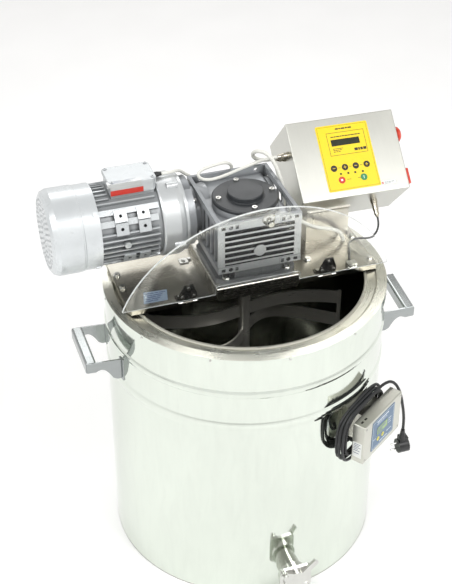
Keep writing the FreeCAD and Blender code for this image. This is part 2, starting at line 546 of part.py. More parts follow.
put("lid_sensor", sens)

# ---------------------------------------------------------------- console
def con(s):
    s = s.copy()
    s.rotate(V(0, 0, 0), V(1, 0, 0), CON_TILT)
    s.rotate(V(0, 0, 0), V(0, 0, 1), CON_YAW)
    s.translate(CON_P)
    return s


KEYS = {"key_1": (96.6, 75.3, 8.0), "key_2": (125.2, 75.3, 8.0), "key_3": (153.6, 75.3, 8.0), "key_4": (182.2, 75.3, 8.0),
        "key_stop": (110.3, 43.8, 8.5), "key_start": (167.8, 43.8, 8.5)}
PAN = (71.5, 207.0, 17.0, 186.0)
ES = (152.0, -48.0)
MS = (41.0, -48.0)
bx = box(0, CON_W, 0, CON_H, -CON_D, 0)
bx = bx.makeFillet(2.5, [e for e in bx.Edges if abs(e.BoundBox.ZMin) < .01 or abs(e.Vertexes[0].Z - e.Vertexes[1].Z) > 100])
bx = bx.cut(box(2, CON_W - 2, 2, CON_H - 2, -CON_D + 2, -2))
hs = [cyl(x, y, -10, r + 0.8, 20) for x, y, r in KEYS.values()]
hs += [cyl(CON_W - 10, ES[0], ES[1], 9.4, 20, (1, 0, 0)), cyl(CON_W - 10, MS[0], MS[1], 5.4, 20, (1, 0, 0)),
       cyl(-10, 134, -28, 6.0, 20, (1, 0, 0)), cyl(-10, 140, -62, 7.0, 20, (1, 0, 0)), cyl(204, -10, -68, 5.0, 20, (0, 1, 0))]
bx = cut(bx, hs)
put("console_housing", con(bx))
pn = box(PAN[0], PAN[1], PAN[2], PAN[3], 0, 1.0)
pn = pn.makeFillet(4.0, [e for e in pn.Edges if abs(e.Vertexes[0].Z - e.Vertexes[1].Z) > .5])
pn = cut(pn, [cyl(x, y, -1, r + 0.3, 5) for x, y, r in KEYS.values()])
pn = pn.cut(box(104, 178.6, 131, 148.2, 0.6, 2))
put("membrane_panel", con(pn))
for k, (x, y, r) in KEYS.items():
    put(k, con(cyl(x, y, -0.8, r, 2.2).cut(Part.makeSphere(60, V(x, y, 61.2)))))
put("switch_plates", Part.makeCompound([
    con(tube(CON_W, ES[0], ES[1], 9.1, 15.0, 7.0, (1, 0, 0))),
    con(box(CON_W, CON_W + 2, MS[0] - 24, MS[0] + 24, MS[1] - 24, MS[1] + 24).cut(cyl(CON_W - 5, MS[0], MS[1], 5.4, 20, (1, 0, 0))))]))
eb = Part.Face(Part.makePolygon([V(*p) for p in ((CON_W - 14, ES[0], ES[1]), (CON_W - 14, ES[0] + 9.0, ES[1]), (CON_W + 12, ES[0] + 9.0, ES[1]),
                                                 (CON_W + 12, ES[0] + 19.0, ES[1]), (CON_W + 15, ES[0] + 20.5, ES[1]), (CON_W + 19, ES[0] + 20.0, ES[1]),
                                                 (CON_W + 24, ES[0] + 15.0, ES[1]), (CON_W + 27, ES[0] + 7.0, ES[1]), (CON_W + 27.6, ES[0], ES[1]),
                                                 (CON_W - 14, ES[0], ES[1]))])).revolve(V(0, ES[0], ES[1]), V(1, 0, 0), 360)
put("estop_button", con(eb))
grip = box(CON_W + 8, CON_W + 24, MS[0] - 20, MS[0] + 20, MS[1] - 6, MS[1] + 6)
grip = grip.makeFillet(2.5, [e for e in grip.Edges if e.BoundBox.XMin > CON_W + 23.9])
kn = fuse([cyl(CON_W + 2.3, MS[0], MS[1], 20.0, 8, (1, 0, 0)), grip, cyl(CON_W - 8, MS[0], MS[1], 5.0, 12, (1, 0, 0))])
put("main_switch_knob", con(kn))

# bent sheet bracket under the console
cs, sn = math.cos(math.radians(46)), math.sin(math.radians(46))
BWY = 64.0
web = prism([(186, BWY, BRIDGE_TOP), (300, BWY, BRIDGE_TOP), (300, BWY, 98.0), (186, BWY, 98.0)], (0, 3, 0))
footp = box(186, 300, BWY, BWY + 46, BRIDGE_TOP, BRIDGE_TOP + 3)
gus = prism([(297, BWY, BRIDGE_TOP), (297, BWY + 44, BRIDGE_TOP), (297, BWY + 30, 66), (297, BWY, 98)], (3, 0, 0))
gus2 = prism([(186, BWY, BRIDGE_TOP), (186, BWY + 44, BRIDGE_TOP), (186, BWY + 30, 66), (186, BWY, 98)], (3, 0, 0))
flg = con(box(186 - 152, 300 - 152, -3, 0, -132, -88))
brk = fuse([web, footp, gus, gus2, flg] + [con(cyl(x, -6.0, -124, 5.0, 5.5, (0, 1, 0))) for x in (52, 130)])
keep = con(box(-300, 600, -400, 0, -400, 400))
brk = brk.common(keep)
put("console_bracket", fuse([brk]))

# glands and the round metal connector under the console
def gland(l, r):
    return fuse([Part.makeCylinder(r, 6), Part.makeCylinder(r * 0.86, 14), Part.makeCone(r * 0.86, r * 0.6, 8, V(0, 0, 14)),
                 Part.makeCylinder(r * 0.6, l)])


def place(s, p, d):
    s = s.copy()
    dd = V(*d)
    dd.normalize()
    s.Placement = FreeCAD.Placement(V(*p), FreeCAD.Rotation(V(0, 0, 1), dd))
    return s


gl = [place(gland(24, 7.9), (-204.0, 91, 266), (1, 0, 0)),
      con(place(gland(28, 9.0), (0, 134, -28), (-1, 0, 0))),
      con(place(gland(24, 10.5), (0, 140, -62), (-1, 0, 0))),
      con(fuse([cyl(204, -10, -68, 9.0, 10, (0, 1, 0)), cyl(204, -28, -68, 7.5, 18.1, (0, 1, 0)),
                cyl(204, -40, -68, 6.4, 12.1, (0, 1, 0)), cone(204, -40, -68, 5.4, 3.6, 6, (0, -1, 0))]))]
put("cable_glands", Part.makeCompound(gl))


def con_pt(a, b, c):
    q = con(Part.Vertex(V(a, b, c))).Vertexes[0].Point
    return (q.x, q.y, q.z)


g1 = con_pt(-28, 134, -28)
g2 = con_pt(-24, 140, -62)
g3 = con_pt(204, -46, -68)
print("gland ends", g1, g2, g3)
gd = con_pt(-60, 134, -28)
gd = V(gd[0] - g1[0], gd[1] - g1[1], gd[2] - g1[2]).normalize()      # outward direction of the side glands


def off(p, d, k):
    return (p[0] + d.x * k, p[1] + d.y * k, p[2] + d.z * k)


MOTOR_CABLE = [(-180.0, 91.0, 266.0), (-157.0, 91.0, 266.0), (-137.0, 105.0, 259.0), (-122.0, 130.0, 243.0), (-107.0, 149.0, 223.0),
               (-85.0, 157.0, 203.0), (-57.0, 158.5, 190.0), (-28.0, 158.5, 184.0), (1.0, 157.5, 184.0), (17.0, 155.0, 200.0),
               (17.0, 148.0, 222.0), (1.0, 140.5, 238.0), (-22.0, 136.0, 239.5), (-45.0, 134.5, 237.0), (-67.5, 132.0, 233.0),
               (-81.0, 119.0, 230.5), (-81.0, 100.0, 229.5), (-67.5, 87.5, 229.0), (-46.0, 86.5, 229.5), (-20.0, 92.0, 230.5),
               (10.0, 103.0, 231.5), (42.0, 112.5, 233.5), (72.0, 118.0, 237.5), off(g1, gd, 24.0), g1]
put("motor_cable", cord("motor_cable", MOTOR_CABLE, 4.0))
CONSOLE_CABLE = [g2, off(g2, gd, 19.0), (86.0, 145.5, 226.0), (68.0, 138.0, 242.0), (62.0, 125.0, 261.0), (68.0, 109.0, 274.0),
                 (83.0, 95.0, 275.0), (97.0, 84.0, 261.0), (107.0, 75.0, 239.0), (114.0, 67.0, 214.0), (120.0, 59.5, 187.0),
                 (126.0, 53.0, 160.0), (134.0, 48.0, 132.0), (152.0, 43.0, 104.0), (180.0, 40.0, 82.0), (212.0, 39.0, 68.0),
                 (244.0, 41.0, 58.0), (268.0, 43.0, 44.0), (278.0, 44.0, 24.0), (280.0, 44.0, 13.0)]
put("console_cable", cord("console_cable", CONSOLE_CABLE, 5.0).cut(box(260, 300, 30, 60, 5, BRIDGE_TOP)))
cd = con_pt(204, -86, -68)
cd = V(cd[0] - g3[0], cd[1] - g3[1], cd[2] - g3[2]).normalize()
SENSOR_LEAD = [g3, off(g3, cd, 13.0), (350.0, -9.0, 62.0), (339.0, -13.0, 50.0), (325.0, -8.0, 43.0), (311.0, 2.0, 40.0),
               (297.0, 11.0, 36.0), (284.0, 13.0, 29.0), (275.5, 3.0, 22.5), (272.0, -13.0, 19.0), (266.0, -30.0, 18.6),
               (257.0, -46.0, 20.8), (256.0, -64.0, 21.5)]
put("sensor_lead", cord("sensor_lead", SENSOR_LEAD, 2.5).cut(box(240, 264, -82, -64, BRIDGE_TOP, BRIDGE_TOP + 13)))

# ---------------------------------------------------------------- heater controller on the jacket
def ctl(s):
    """local x along the tangent, y outwards, z up"""
    s = s.copy()
    s.rotate(V(0, 0, 0), V(0, 0, 1), CTL_PHI + 90.0)
    return s


# local frame: x = tangent (to the right seen from outside), y = -distance from the axis
cb = box(-CTL_W / 2, CTL_W / 2, -CTL_D, -CTL_D + CTL_T, CTL_TOP - CTL_H, CTL_TOP)
cb = cb.makeFillet(3.0, [e for e in cb.Edges if abs(e.BoundBox.YMin + CTL_D) < .01])
cb = cb.cut(box(-CTL_W / 2 + 2, CTL_W / 2 - 2, -CTL_D + 2, -CTL_D + CTL_T - 2, CTL_TOP - CTL_H + 2, CTL_TOP - 2))
CK = {"controller_key_1": (-21.0, -307.0), "controller_key_2": (1.0, -307.0)}
cb = cut(cb, [cyl(x, -CTL_D - 5, z, 6.2, 10, (0, 1, 0)) for x, z in CK.values()])
cb = cb.cut(cyl(-68, -CTL_D + CTL_T - 6, -300, 5.0, 12, (0, 1, 0)))
put("controller_box", ctl(cb))
for sx in (-1, 1):
    for z in (-240.5, -336.5):
        screws.append(ctl(panscrew(sx * 78.5, -CTL_D, z, (0, -1, 0), 3.0, 1.8)))
put("pan_head_screws", Part.makeCompound(screws))
cp = box(-52, 52, -CTL_D - 0.8, -CTL_D, -330, -240)
cp = cp.makeFillet(3.0, [e for e in cp.Edges if abs(e.Vertexes[0].Y - e.Vertexes[1].Y) > .5])
cp = cut(cp, [cyl(x, -CTL_D - 5, z, 5.9, 10, (0, 1, 0)) for x, z in CK.values()])
put("controller_panel", ctl(cp))
for k, (x, z) in CK.items():
    put(k, ctl(cyl(x, -CTL_D - 1.4, z, 5.6, 2.4, (0, 1, 0))))
# bracket: a block to the jacket with a plate on the back of the box; the cord is wound round it
yb = -CTL_D + CTL_T
br = [box(-40, 40, yb, -335.0, -322, -240), box(-52, 46, yb, yb + 1.5, -334, -234)]
br = fuse(br).cut(Part.makeCylinder(JACKET_R, 900, V(0, 0, -700)))
put("cord_wrap_bracket", ctl(br))


def W(s, d, z):
    p = ctl_n * d + ctl_t * s
    return (p.x, p.y, z)


# wound cord: one closed ring with rounded corners, the outer shape of the hank behind the box
def slab(x0, x1, z0, z1, y0, y1, r):
    q = box(x0, x1, y0, y1, z0, z1)
    return q.makeFillet(r, [e for e in q.Edges if abs(e.Vertexes[0].Y - e.Vertexes[1].Y) > 5])


HANK = (-122.0, 78.0, -362.0, -204.0)
hank = slab(HANK[0], HANK[1], HANK[2], HANK[3], -381.0, -353.0, 50.0)
hank = hank.cut(slab(HANK[0] + 25, HANK[1] - 25, HANK[2] + 25, HANK[3] - 25, -390.0, -340.0, 26.0))
put("mains_cord_coil", ctl(hank))
pl = W(143.0, 402.0, -402.0)
MAINS = [W(46, 375, -212), W(70, 377, -213), W(91, 382, -218), W(105, 390, -234), W(114, 397, -259), W(121, 401, -288), W(128, 403, -317),
         W(136, 403, -345), W(143, 402, -374), pl]
put("mains_cord", cord("mains_cord", MAINS, 3.75))
ph = W(147.0, 401.0, -458.0)
plug = [cone(pl[0], pl[1], -402.0, 5.0, 9.0, 34, (0, 0, -1)), cyl(ph[0] - 13, ph[1], ph[2], 19.0, 28, (1, 0, 0)),
        box(ph[0] - 10, ph[0] + 12, ph[1] - 10, ph[1] + 10, ph[2], -428),
        cyl(ph[0] - 32, ph[1], ph[2] - 9.5, 2.4, 25, (1, 0, 0)), cyl(ph[0] - 32, ph[1], ph[2] + 9.5, 2.4, 25, (1, 0, 0))]
put("mains_plug", fuse(plug))

# ---------------------------------------------------------------- stirrer
hub = revolve_z([(0, 99), (14.95, 99), (14.95, 20), (26, 18), (26, -14), (15, -20), (15, -674), (11, -680), (0, -680)])
hub = hub.cut(cyl(0, 0, 96, 3, 10))


def blade(pts, z, h, t=5.0):
    """flat bar on edge, bent in plan through the points, from z up to z + h"""
    c = Part.BSplineCurve()
    c.interpolate([V(x, y, 0) for x, y in pts])
    u0, u1 = c.FirstParameter, c.LastParameter
    sides = []
    for sgn in (-1, 1):
        q = []
        for i in range(25):
            u = u0 + (u1 - u0) * i / 24.0
            p, d = c.value(u), c.tangent(u)[0]
            n = V(-d.y, d.x, 0).normalize()
            q.append(p + n * (sgn * t / 2.0))
        e = Part.BSplineCurve()
        e.interpolate(q)
        sides.append((e.toShape(), q[0], q[-1]))
    (e0, a0, b0), (e1, a1, b1) = sides
    w = Part.Wire(Part.__sortEdges__([e0, Part.makeLine(b0, b1), e1, Part.makeLine(a1, a0)]))
    f = Part.Face(w).extrude(V(0, 0, h))
    f.translate(V(0, 0, z))
    return f


END = (246.0, -29.0)
UPPER = [(60.0, 12.0), (120.0, 13.0), (180.0, 0.0), END]
LOWER = [(38.0, 42.0), (80.0, 62.0), (130.0, 50.0), (190.0, 12.0), END]
parts = [hub]
for top, shape in ((-90.0, UPPER), (-160.0, LOWER), (-300.0, UPPER), (-440.0, LOWER), (-580.0, UPPER)):
    line = [(-x, -y) for x, y in reversed(shape)] + [(0.0, 0.0)] + shape
    parts.append(blade(line, top - 36.0, 36.0))
for sgn in (-1, 1):
    parts.append(cyl(sgn * END[0], sgn * END[1], -650.0, 5.0, 562.0))
foot = box(-246.0, 246.0, -2.5, 2.5, -648.0, -620.0)
foot.rotate(V(0, 0, 0), V(0, 0, 1), math.degrees(math.atan2(END[1], END[0])))
parts.append(foot)
st = fuse(parts)
put("stirrer", st)

# ---------------------------------------------------------------- export
for n, s in NODES.items():
    bad = [q for q in s.Solids if not q.isValid() or q.Volume <= 0]
    if bad or not s.Solids:
        print("CHECK", n, "solids", len(s.Solids), "bad", len(bad))
    s.exportStep("parts/%s.step" % n)
bb = FreeCAD.BoundBox()
for s in NODES.values():
    bb.add(s.BoundBox)
print(len(NODES), "nodes", bb)
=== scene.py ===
import math
import random

import bmesh
import bpy
from mathutils import Matrix, Vector


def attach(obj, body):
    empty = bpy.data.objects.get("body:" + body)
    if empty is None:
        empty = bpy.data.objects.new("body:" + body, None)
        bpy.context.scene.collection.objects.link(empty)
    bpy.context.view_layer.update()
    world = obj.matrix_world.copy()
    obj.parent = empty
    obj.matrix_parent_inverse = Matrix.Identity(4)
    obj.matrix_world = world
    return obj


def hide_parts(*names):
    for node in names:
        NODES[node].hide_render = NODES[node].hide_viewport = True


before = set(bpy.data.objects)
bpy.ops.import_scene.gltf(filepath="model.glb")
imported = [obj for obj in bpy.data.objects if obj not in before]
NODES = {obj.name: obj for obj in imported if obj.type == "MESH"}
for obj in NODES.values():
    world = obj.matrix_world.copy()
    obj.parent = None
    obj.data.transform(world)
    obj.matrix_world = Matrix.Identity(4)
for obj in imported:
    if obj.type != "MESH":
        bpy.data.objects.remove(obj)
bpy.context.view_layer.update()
scene = bpy.context.scene
RIM = 0.760                                  # height of the drum's flat rim
MM = 0.001


# ------------------------------------------------------------------ camera
cam_data = bpy.data.cameras.new("camera")
cam = bpy.data.objects.new("camera", cam_data)
scene.collection.objects.link(cam)
cam.location = (-0.88202, -2.48071, 2.55836)
cam.rotation_euler = (math.radians(54.83), 0.0, math.radians(-18.58))
cam_data.lens = 79.65
cam_data.sensor_width = 36.0
cam_data.sensor_fit = "AUTO"
cam_data.clip_start = 0.05
cam_data.clip_end = 100.0
cam_data.dof.use_dof = False
scene.camera = cam
scene.view_settings.view_transform = "Standard"
scene.view_settings.look = "None"


# ------------------------------------------------------------------ frames of the tilted parts
def con(x, y, z):
    """console frame: x to the right, y up the face, z out of the face; mm in, metres out"""
    v = Matrix.Rotation(math.radians(43.4), 3, "X") @ Vector((x, y, z))
    v = Matrix.Rotation(math.radians(-2.0), 3, "Z") @ v
    v += Vector((149.5, 0.0, 170.7))
    return Vector((v.x * MM, v.y * MM, v.z * MM + RIM))


CTL_PHI = math.radians(-54.8)
CTL_FRONT, CTL_HALF, CTL_TOPZ = 417.0, 87.0, -231.0
CTL_N = Vector((math.cos(CTL_PHI), math.sin(CTL_PHI), 0))
CTL_T = Vector((-math.sin(CTL_PHI), math.cos(CTL_PHI), 0))


def ctl(s, d, z):
    """controller frame: s to the right seen from outside, d from the drum axis, z below the rim; mm"""
    v = CTL_N * d + CTL_T * s
    return Vector((v.x * MM, v.y * MM, z * MM + RIM))


def rim(x, y, z):
    return Vector((x * MM, y * MM, z * MM + RIM))


# ------------------------------------------------------------------ cords
def spline_points(pts, res=6):
    """points on the NURBS spline of a route, in order"""
    cu = bpy.data.curves.new("route", "CURVE")
    cu.dimensions = "3D"
    sp = cu.splines.new("NURBS")
    sp.points.add(len(pts) - 1)
    for p, q in zip(sp.points, pts):
        p.co = (q[0], q[1], q[2], 1.0)
    sp.order_u = 3
    sp.use_endpoint_u = True
    sp.resolution_u = res
    ob = bpy.data.objects.new("route", cu)
    me = bpy.data.meshes.new_from_object(ob)
    co = [v.co.copy() for v in me.vertices]
    bpy.data.meshes.remove(me)
    bpy.data.objects.remove(ob)
    bpy.data.curves.remove(cu)
    return co


def skin(name, co, radii, sides=14):
    """round tube along a line of points, closed at both ends"""
    tan = []
    for i in range(len(co)):
        tan.append((co[min(i + 1, len(co) - 1)] - co[max(i - 1, 0)]).normalized())
    up = tan[0].orthogonal().normalized()
    verts, faces = [], []
    for i, p in enumerate(co):
        up = (up - tan[i] * up.dot(tan[i])).normalized()
        side = tan[i].cross(up)
        for k in range(sides):
            t = 2 * math.pi * k / sides
            verts.append(p + (up * math.cos(t) + side * math.sin(t)) * radii[i])
    for i in range(len(co) - 1):
        for k in range(sides):
            k2 = (k + 1) % sides
            faces.append((i * sides + k, i * sides + k2, (i + 1) * sides + k2, (i + 1) * sides + k))
    faces.append(tuple(reversed(range(sides))))
    faces.append(tuple((len(co) - 1) * sides + k for k in range(sides)))
    me = bpy.data.meshes.new(name)
    me.from_pydata([tuple(v) for v in verts], [], faces)
    for p in me.polygons:
        p.use_smooth = len(p.vertices) == 4
    me.update()
    ob = bpy.data.objects.new(name, me)
    scene.collection.objects.link(ob)
    return ob


def line_length(co):
    return sum((b - a).length for a, b in zip(co, co[1:]))


def off(p, d, k):
    return p + d * (k * MM)


g1, g2, g3 = con(-28, 134, -28), con(-24, 140, -62), con(204, -46, -68)
gd = (con(-60, 134, -28) - g1).normalized()
cd = (con(204, -86, -68) - g3).normalized()

MOTOR_CABLE = [rim(*p) for p in (
    (-180, 91, 266), (-157, 91, 266), (-137, 105, 259), (-122, 130, 243), (-107, 149, 223), (-85, 157, 203), (-57, 158.5, 190),
    (-28, 158.5, 184), (1, 157.5, 184), (17, 155, 200), (17, 148, 222), (1, 140.5, 238), (-22, 136, 239.5), (-45, 134.5, 237),
    (-67.5, 132, 233), (-81, 119, 230.5), (-81, 100, 229.5), (-67.5, 87.5, 229), (-46, 86.5, 229.5), (-20, 92, 230.5),
    (10, 103, 231.5), (42, 112.5, 233.5), (72, 118, 237.5))] + [off(g1, gd, 24.0), g1]
CONSOLE_CABLE = [g2, off(g2, gd, 19.0)] + [rim(*p) for p in (
    (86, 145.5, 226), (68, 138, 242), (62, 125, 261), (68, 109, 274), (83, 95, 275), (97, 84, 261), (107, 75, 239),
    (114, 67, 214), (120, 59.5, 187), (126, 53, 160), (134, 48, 132), (152, 43, 104), (180, 40, 82), (212, 39, 68),
    (244, 41, 58), (268, 43, 44), (278, 44, 24), (280, 44, 14))]
SENSOR_LEAD = [g3, off(g3, cd, 13.0)] + [rim(*p) for p in (
    (350, -9, 62), (339, -13, 50), (325, -8, 43), (311, 2, 40), (297, 11, 36), (284, 13, 29), (275.5, 3, 22.5),
    (272, -13, 19), (266, -30, 18.6), (257, -46, 20.8), (256, -64, 21.5))]
MAINS_TAIL = [ctl(*p) for p in ((46, 375, -212), (70, 377, -213), (91, 382, -218), (105, 390, -234), (114, 397, -259),
                                (121, 401, -288), (128, 403, -317), (136, 403, -345), (143, 402, -374), (143, 402, -402))]
MAINS_EXIT = [ctl(*p) for p in ((-68, 384, -300), (-68, 372, -300), (-78, 362, -296), (-92, 358, -284))]

# where each turn lies: how far out from the middle of the winding, and how far from the drum axis
TURNS = [(-7.0, 357.6), (7.0, 357.6), (7.0, 366.6), (-7.0, 366.6), (-7.0, 375.4), (6.5, 375.4), (4.6, 375.4)]
LOOSE = [(0.0, 0.0, 0.0), (1.2, -0.8, 0.6), (1.6, 1.2, 2.1), (-1.2, 1.4, 3.4), (1.0, 1.6, 4.4), (2.2, 2.4, 5.2), (0.0, 0.0, 0.0)]


def hank_point(deg, k):
    k0 = min(int(k), len(TURNS) - 2)
    q = min(1.0, k - k0)
    rho = TURNS[k0][0] * (1 - q) + TURNS[k0 + 1][0] * q
    d = TURNS[k0][1] * (1 - q) + TURNS[k0 + 1][1] * q
    wob, sag, ph = [LOOSE[k0][i] * (1 - q) + LOOSE[k0 + 1][i] * q for i in range(3)]
    t = math.radians(deg)
    c, s = math.cos(t), math.sin(t)
    rho += wob * math.sin(2 * t + ph)
    u = math.copysign(abs(c) ** 0.62, c) * (88.5 + rho)
    w = math.copysign(abs(s) ** 0.58, s) * (67.5 + rho)
    if w > 0 and u > -30:
        w += (u + 30) * 0.075
    if w < 0:
        w -= sag * -s
    if u < 0:
        u -= sag * 1.2 * -c
    return ctl(-22.0 + u, d, -283.0 + w)


WOUND = []
START, STEP = 158.0, 20.0
SWEEP = START - 90.0 + 360.0 * 5 - 24.0
n_pts = int(round(SWEEP / STEP))
for i in range(n_pts + 1):
    sweep = SWEEP * i / n_pts
    WOUND.append(hank_point(START - sweep, (180.0 - START + sweep) / 360.0))
MAINS = MAINS_EXIT + WOUND + MAINS_TAIL

cords = {
    "motor_lead": (MOTOR_CABLE, 0.008),
    "console_lead": (CONSOLE_CABLE, 0.010),
    "lid_switch_lead": (SENSOR_LEAD, 0.005),
    "mains_lead": (MAINS, 0.0075),
}
CORD, LINE = {}, {}
for name, (pts, dia) in cords.items():
    LINE[name] = spline_points(pts)
    CORD[name] = skin(name, LINE[name], [dia / 2] * len(LINE[name]))
    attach(CORD[name], "drum")
    print("CORD", name, "%.3f m" % line_length(LINE[name]))
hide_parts("motor_cable")
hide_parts("console_cable")
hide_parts("sensor_lead")
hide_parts("mains_cord", "mains_cord_coil")


# ribbed sleeve where the mains lead leaves the box
def sleeve(name, co, length, r0, r1):
    pts, radii, run = [], [], 0.0
    fine = []
    for a, b in zip(co, co[1:]):
        for k in range(4):
            fine.append(a.lerp(b, k / 4))
    for a, b in zip(fine, fine[1:]):
        f = run / length
        if f > 1.0:
            break
        r = r0 + (r1 - r0) * f
        pts.append(a)
        radii.append(r if int(f * 9) % 2 == 0 else r - 0.0009)
        run += (b - a).length
    return skin(name, pts, radii, 18)


RELIEF = sleeve("mains_strain_relief", LINE["mains_lead"], 0.020, 0.0064, 0.0046)
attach(RELIEF, "drum")


# ------------------------------------------------------------------ node helpers
class Mat:
    def __init__(self, name):
        self.m = bpy.data.materials.new(name)
        self.m.use_nodes = True
        self.nt = self.m.node_tree
        self.nt.nodes.clear()
        self.out = self.n("ShaderNodeOutputMaterial")
        self.b = self.n("ShaderNodeBsdfPrincipled")
        self.link(self.b.outputs[0], self.out.inputs["Surface"])
        self.tc = self.n("ShaderNodeTexCoord")

    def n(self, kind, **kw):
        x = self.nt.nodes.new(kind)
        for k, v in kw.items():
            setattr(x, k, v)
        return x

    def link(self, a, b):
        self.nt.links.new(a, b)

    def set(self, **kw):
        for k, v in kw.items():
            self.b.inputs[k.replace("_", " ")].default_value = v
        return self

    def coord(self, stretch=(1, 1, 1), rot=(0, 0, 0)):
        mp = self.n("ShaderNodeMapping")
        mp.inputs["Scale"].default_value = stretch
        mp.inputs["Rotation"].default_value = rot
        self.link(self.tc.outputs["Object"], mp.inputs["Vector"])
        return mp.outputs[0]

    def polar(self, kr=1.0, ka=1.0, kz=1.0):
        """(radius, angle, height) about the drum axis"""
        s = self.n("ShaderNodeSeparateXYZ")
        self.link(self.tc.outputs["Object"], s.inputs[0])
        x2, y2 = self.math("MULTIPLY", s.outputs[0], s.outputs[0]), self.math("MULTIPLY", s.outputs[1], s.outputs[1])
        r = self.math("SQRT", self.math("ADD", x2, y2))
        a = self.math("ARCTAN2", s.outputs[1], s.outputs[0])
        c = self.n("ShaderNodeCombineXYZ")
        self.link(self.math("MULTIPLY", r, kr), c.inputs[0])
        self.link(self.math("MULTIPLY", a, ka), c.inputs[1])
        self.link(self.math("MULTIPLY", s.outputs[2], kz), c.inputs[2])
        return c.outputs[0], r, a, s.outputs[2]

    def math(self, op, a, b=None, c=None, clamp=False):
        x = self.n("ShaderNodeMath", operation=op, use_clamp=clamp)
        for i, v in enumerate((a, b, c)):
            if v is None:
                continue
            if isinstance(v, (int, float)):
                x.inputs[i].default_value = v
            else:
                self.link(v, x.inputs[i])
        return x.outputs[0]

    def noise(self, vec, scale, detail=3.0, rough=0.5, dist=0.0):
        x = self.n("ShaderNodeTexNoise")
        x.inputs["Scale"].default_value = scale
        x.inputs["Detail"].default_value = detail
        x.inputs["Roughness"].default_value = rough
        x.inputs["Distortion"].default_value = dist
        self.link(vec, x.inputs["Vector"])
        return x.outputs[0]

    def voronoi(self, vec, scale, feature="F1"):
        x = self.n("ShaderNodeTexVoronoi", feature=feature)
        x.inputs["Scale"].default_value = scale
        self.link(vec, x.inputs["Vector"])
        return x.outputs["Distance"]

    def range(self, v, a, b, c, d, smooth=False):
        x = self.n("ShaderNodeMapRange")
        if smooth:
            x.interpolation_type = "SMOOTHSTEP"
        self.link(v, x.inputs["Value"])
        for k, q in zip(("From Min", "From Max", "To Min", "To Max"), (a, b, c, d)):
            x.inputs[k].default_value = q
        return x.outputs[0]

    def mix(self, fac, a, b, blend="MIX"):
        x = self.n("ShaderNodeMix", data_type="RGBA", blend_type=blend)
        x.clamp_factor = True
        if isinstance(fac, (int, float)):
            x.inputs[0].default_value = fac
        else:
            self.link(fac, x.inputs[0])
        for i, v in ((6, a), (7, b)):
            if isinstance(v, (tuple, list)):
                x.inputs[i].default_value = (*v[:3], 1.0)
            else:
                self.link(v, x.inputs[i])
        return x.outputs[2]

    def bump(self, h, strength, dist, normal=None):
        x = self.n("ShaderNodeBump")
        x.inputs["Strength"].default_value = strength
        x.inputs["Distance"].default_value = dist
        self.link(h, x.inputs["Height"])
        if normal is not None:
            self.link(normal, x.inputs["Normal"])
        return x.outputs[0]

    def color(self, c):
        self.link(c, self.b.inputs["Base Color"])
        return self

    def rough(self, r):
        self.link(r, self.b.inputs["Roughness"])
        return self

    def normal(self, nrm):
        self.link(nrm, self.b.inputs["Normal"])
        return self


def srgb(r, g, b):
    f = lambda v: (v / 255.0) / 12.92 if v / 255.0 <= 0.04045 else (((v / 255.0) + 0.055) / 1.055) ** 2.4
    return (f(r), f(g), f(b))


def scaled(c, k):
    return tuple(min(1.0, v * k) for v in c)


def mat_polished(name, col, rough=0.10, dirt=0.05, wave=0.25):
    """mirror-polished sheet: faint long waviness, wiping marks and a little handling haze"""
    m = Mat(name)
    m.set(Metallic=1.0)
    v = m.coord()
    big = m.noise(v, 5.0, 2.0, 0.5, 0.4)
    fine = m.noise(m.coord((1, 1, 9)), 60.0, 4.0, 0.6)
    wipe = m.noise(m.coord((3, 3, 0.6)), 14.0, 5.0, 0.65, 0.6)
    c = m.mix(m.range(wipe, 0.42, 0.72, 0.0, 1.0), col, scaled(col, 1.0 - dirt))
    c = m.mix(m.range(big, 0.35, 0.65, 0.0, 0.5), c, scaled(col, 0.96))
    m.color(c)
    r = m.math("ADD", m.range(wipe, 0.35, 0.75, rough * 0.75, rough * 1.45), m.range(fine, 0.4, 0.6, -0.012, 0.012))
    m.rough(r)
    n1 = m.bump(big, wave, 0.004)
    m.normal(m.bump(fine, 0.05, 0.0003, n1))
    return m.m


def mat_brushed(name, col, rough=0.3, stretch=(1, 60, 60), rot=(0, 0, 0), depth=0.35, aniso=0.5, warm=None, metal=1.0, vary=1.0):
    """brushed or ground sheet: lines along the first axis of the stretch"""
    m = Mat(name)
    m.set(Metallic=metal, Anisotropic=aniso)
    v = m.coord(stretch, rot)
    lines = m.noise(v, 14.0, 6.0, 0.7)
    cloud = m.noise(m.coord(), 11.0, 4.0, 0.55, 0.3)
    c = m.mix(m.range(lines, 0.3, 0.7, 0.0, 1.0), scaled(col, 1.0 - 0.14 * vary), scaled(col, 1.0 + 0.06 * vary))
    c = m.mix(m.range(cloud, 0.35, 0.7, 0.0, 0.55), c, warm or scaled(col, 0.85))
    m.color(c)
    m.rough(m.math("ADD", m.range(lines, 0.3, 0.7, rough * (1 - 0.2 * vary), rough * (1 + 0.2 * vary)),
                   m.range(cloud, 0.35, 0.7, -0.04 * vary, 0.06 * vary)))
    m.normal(m.bump(lines, depth, 0.0004))
    return m.m


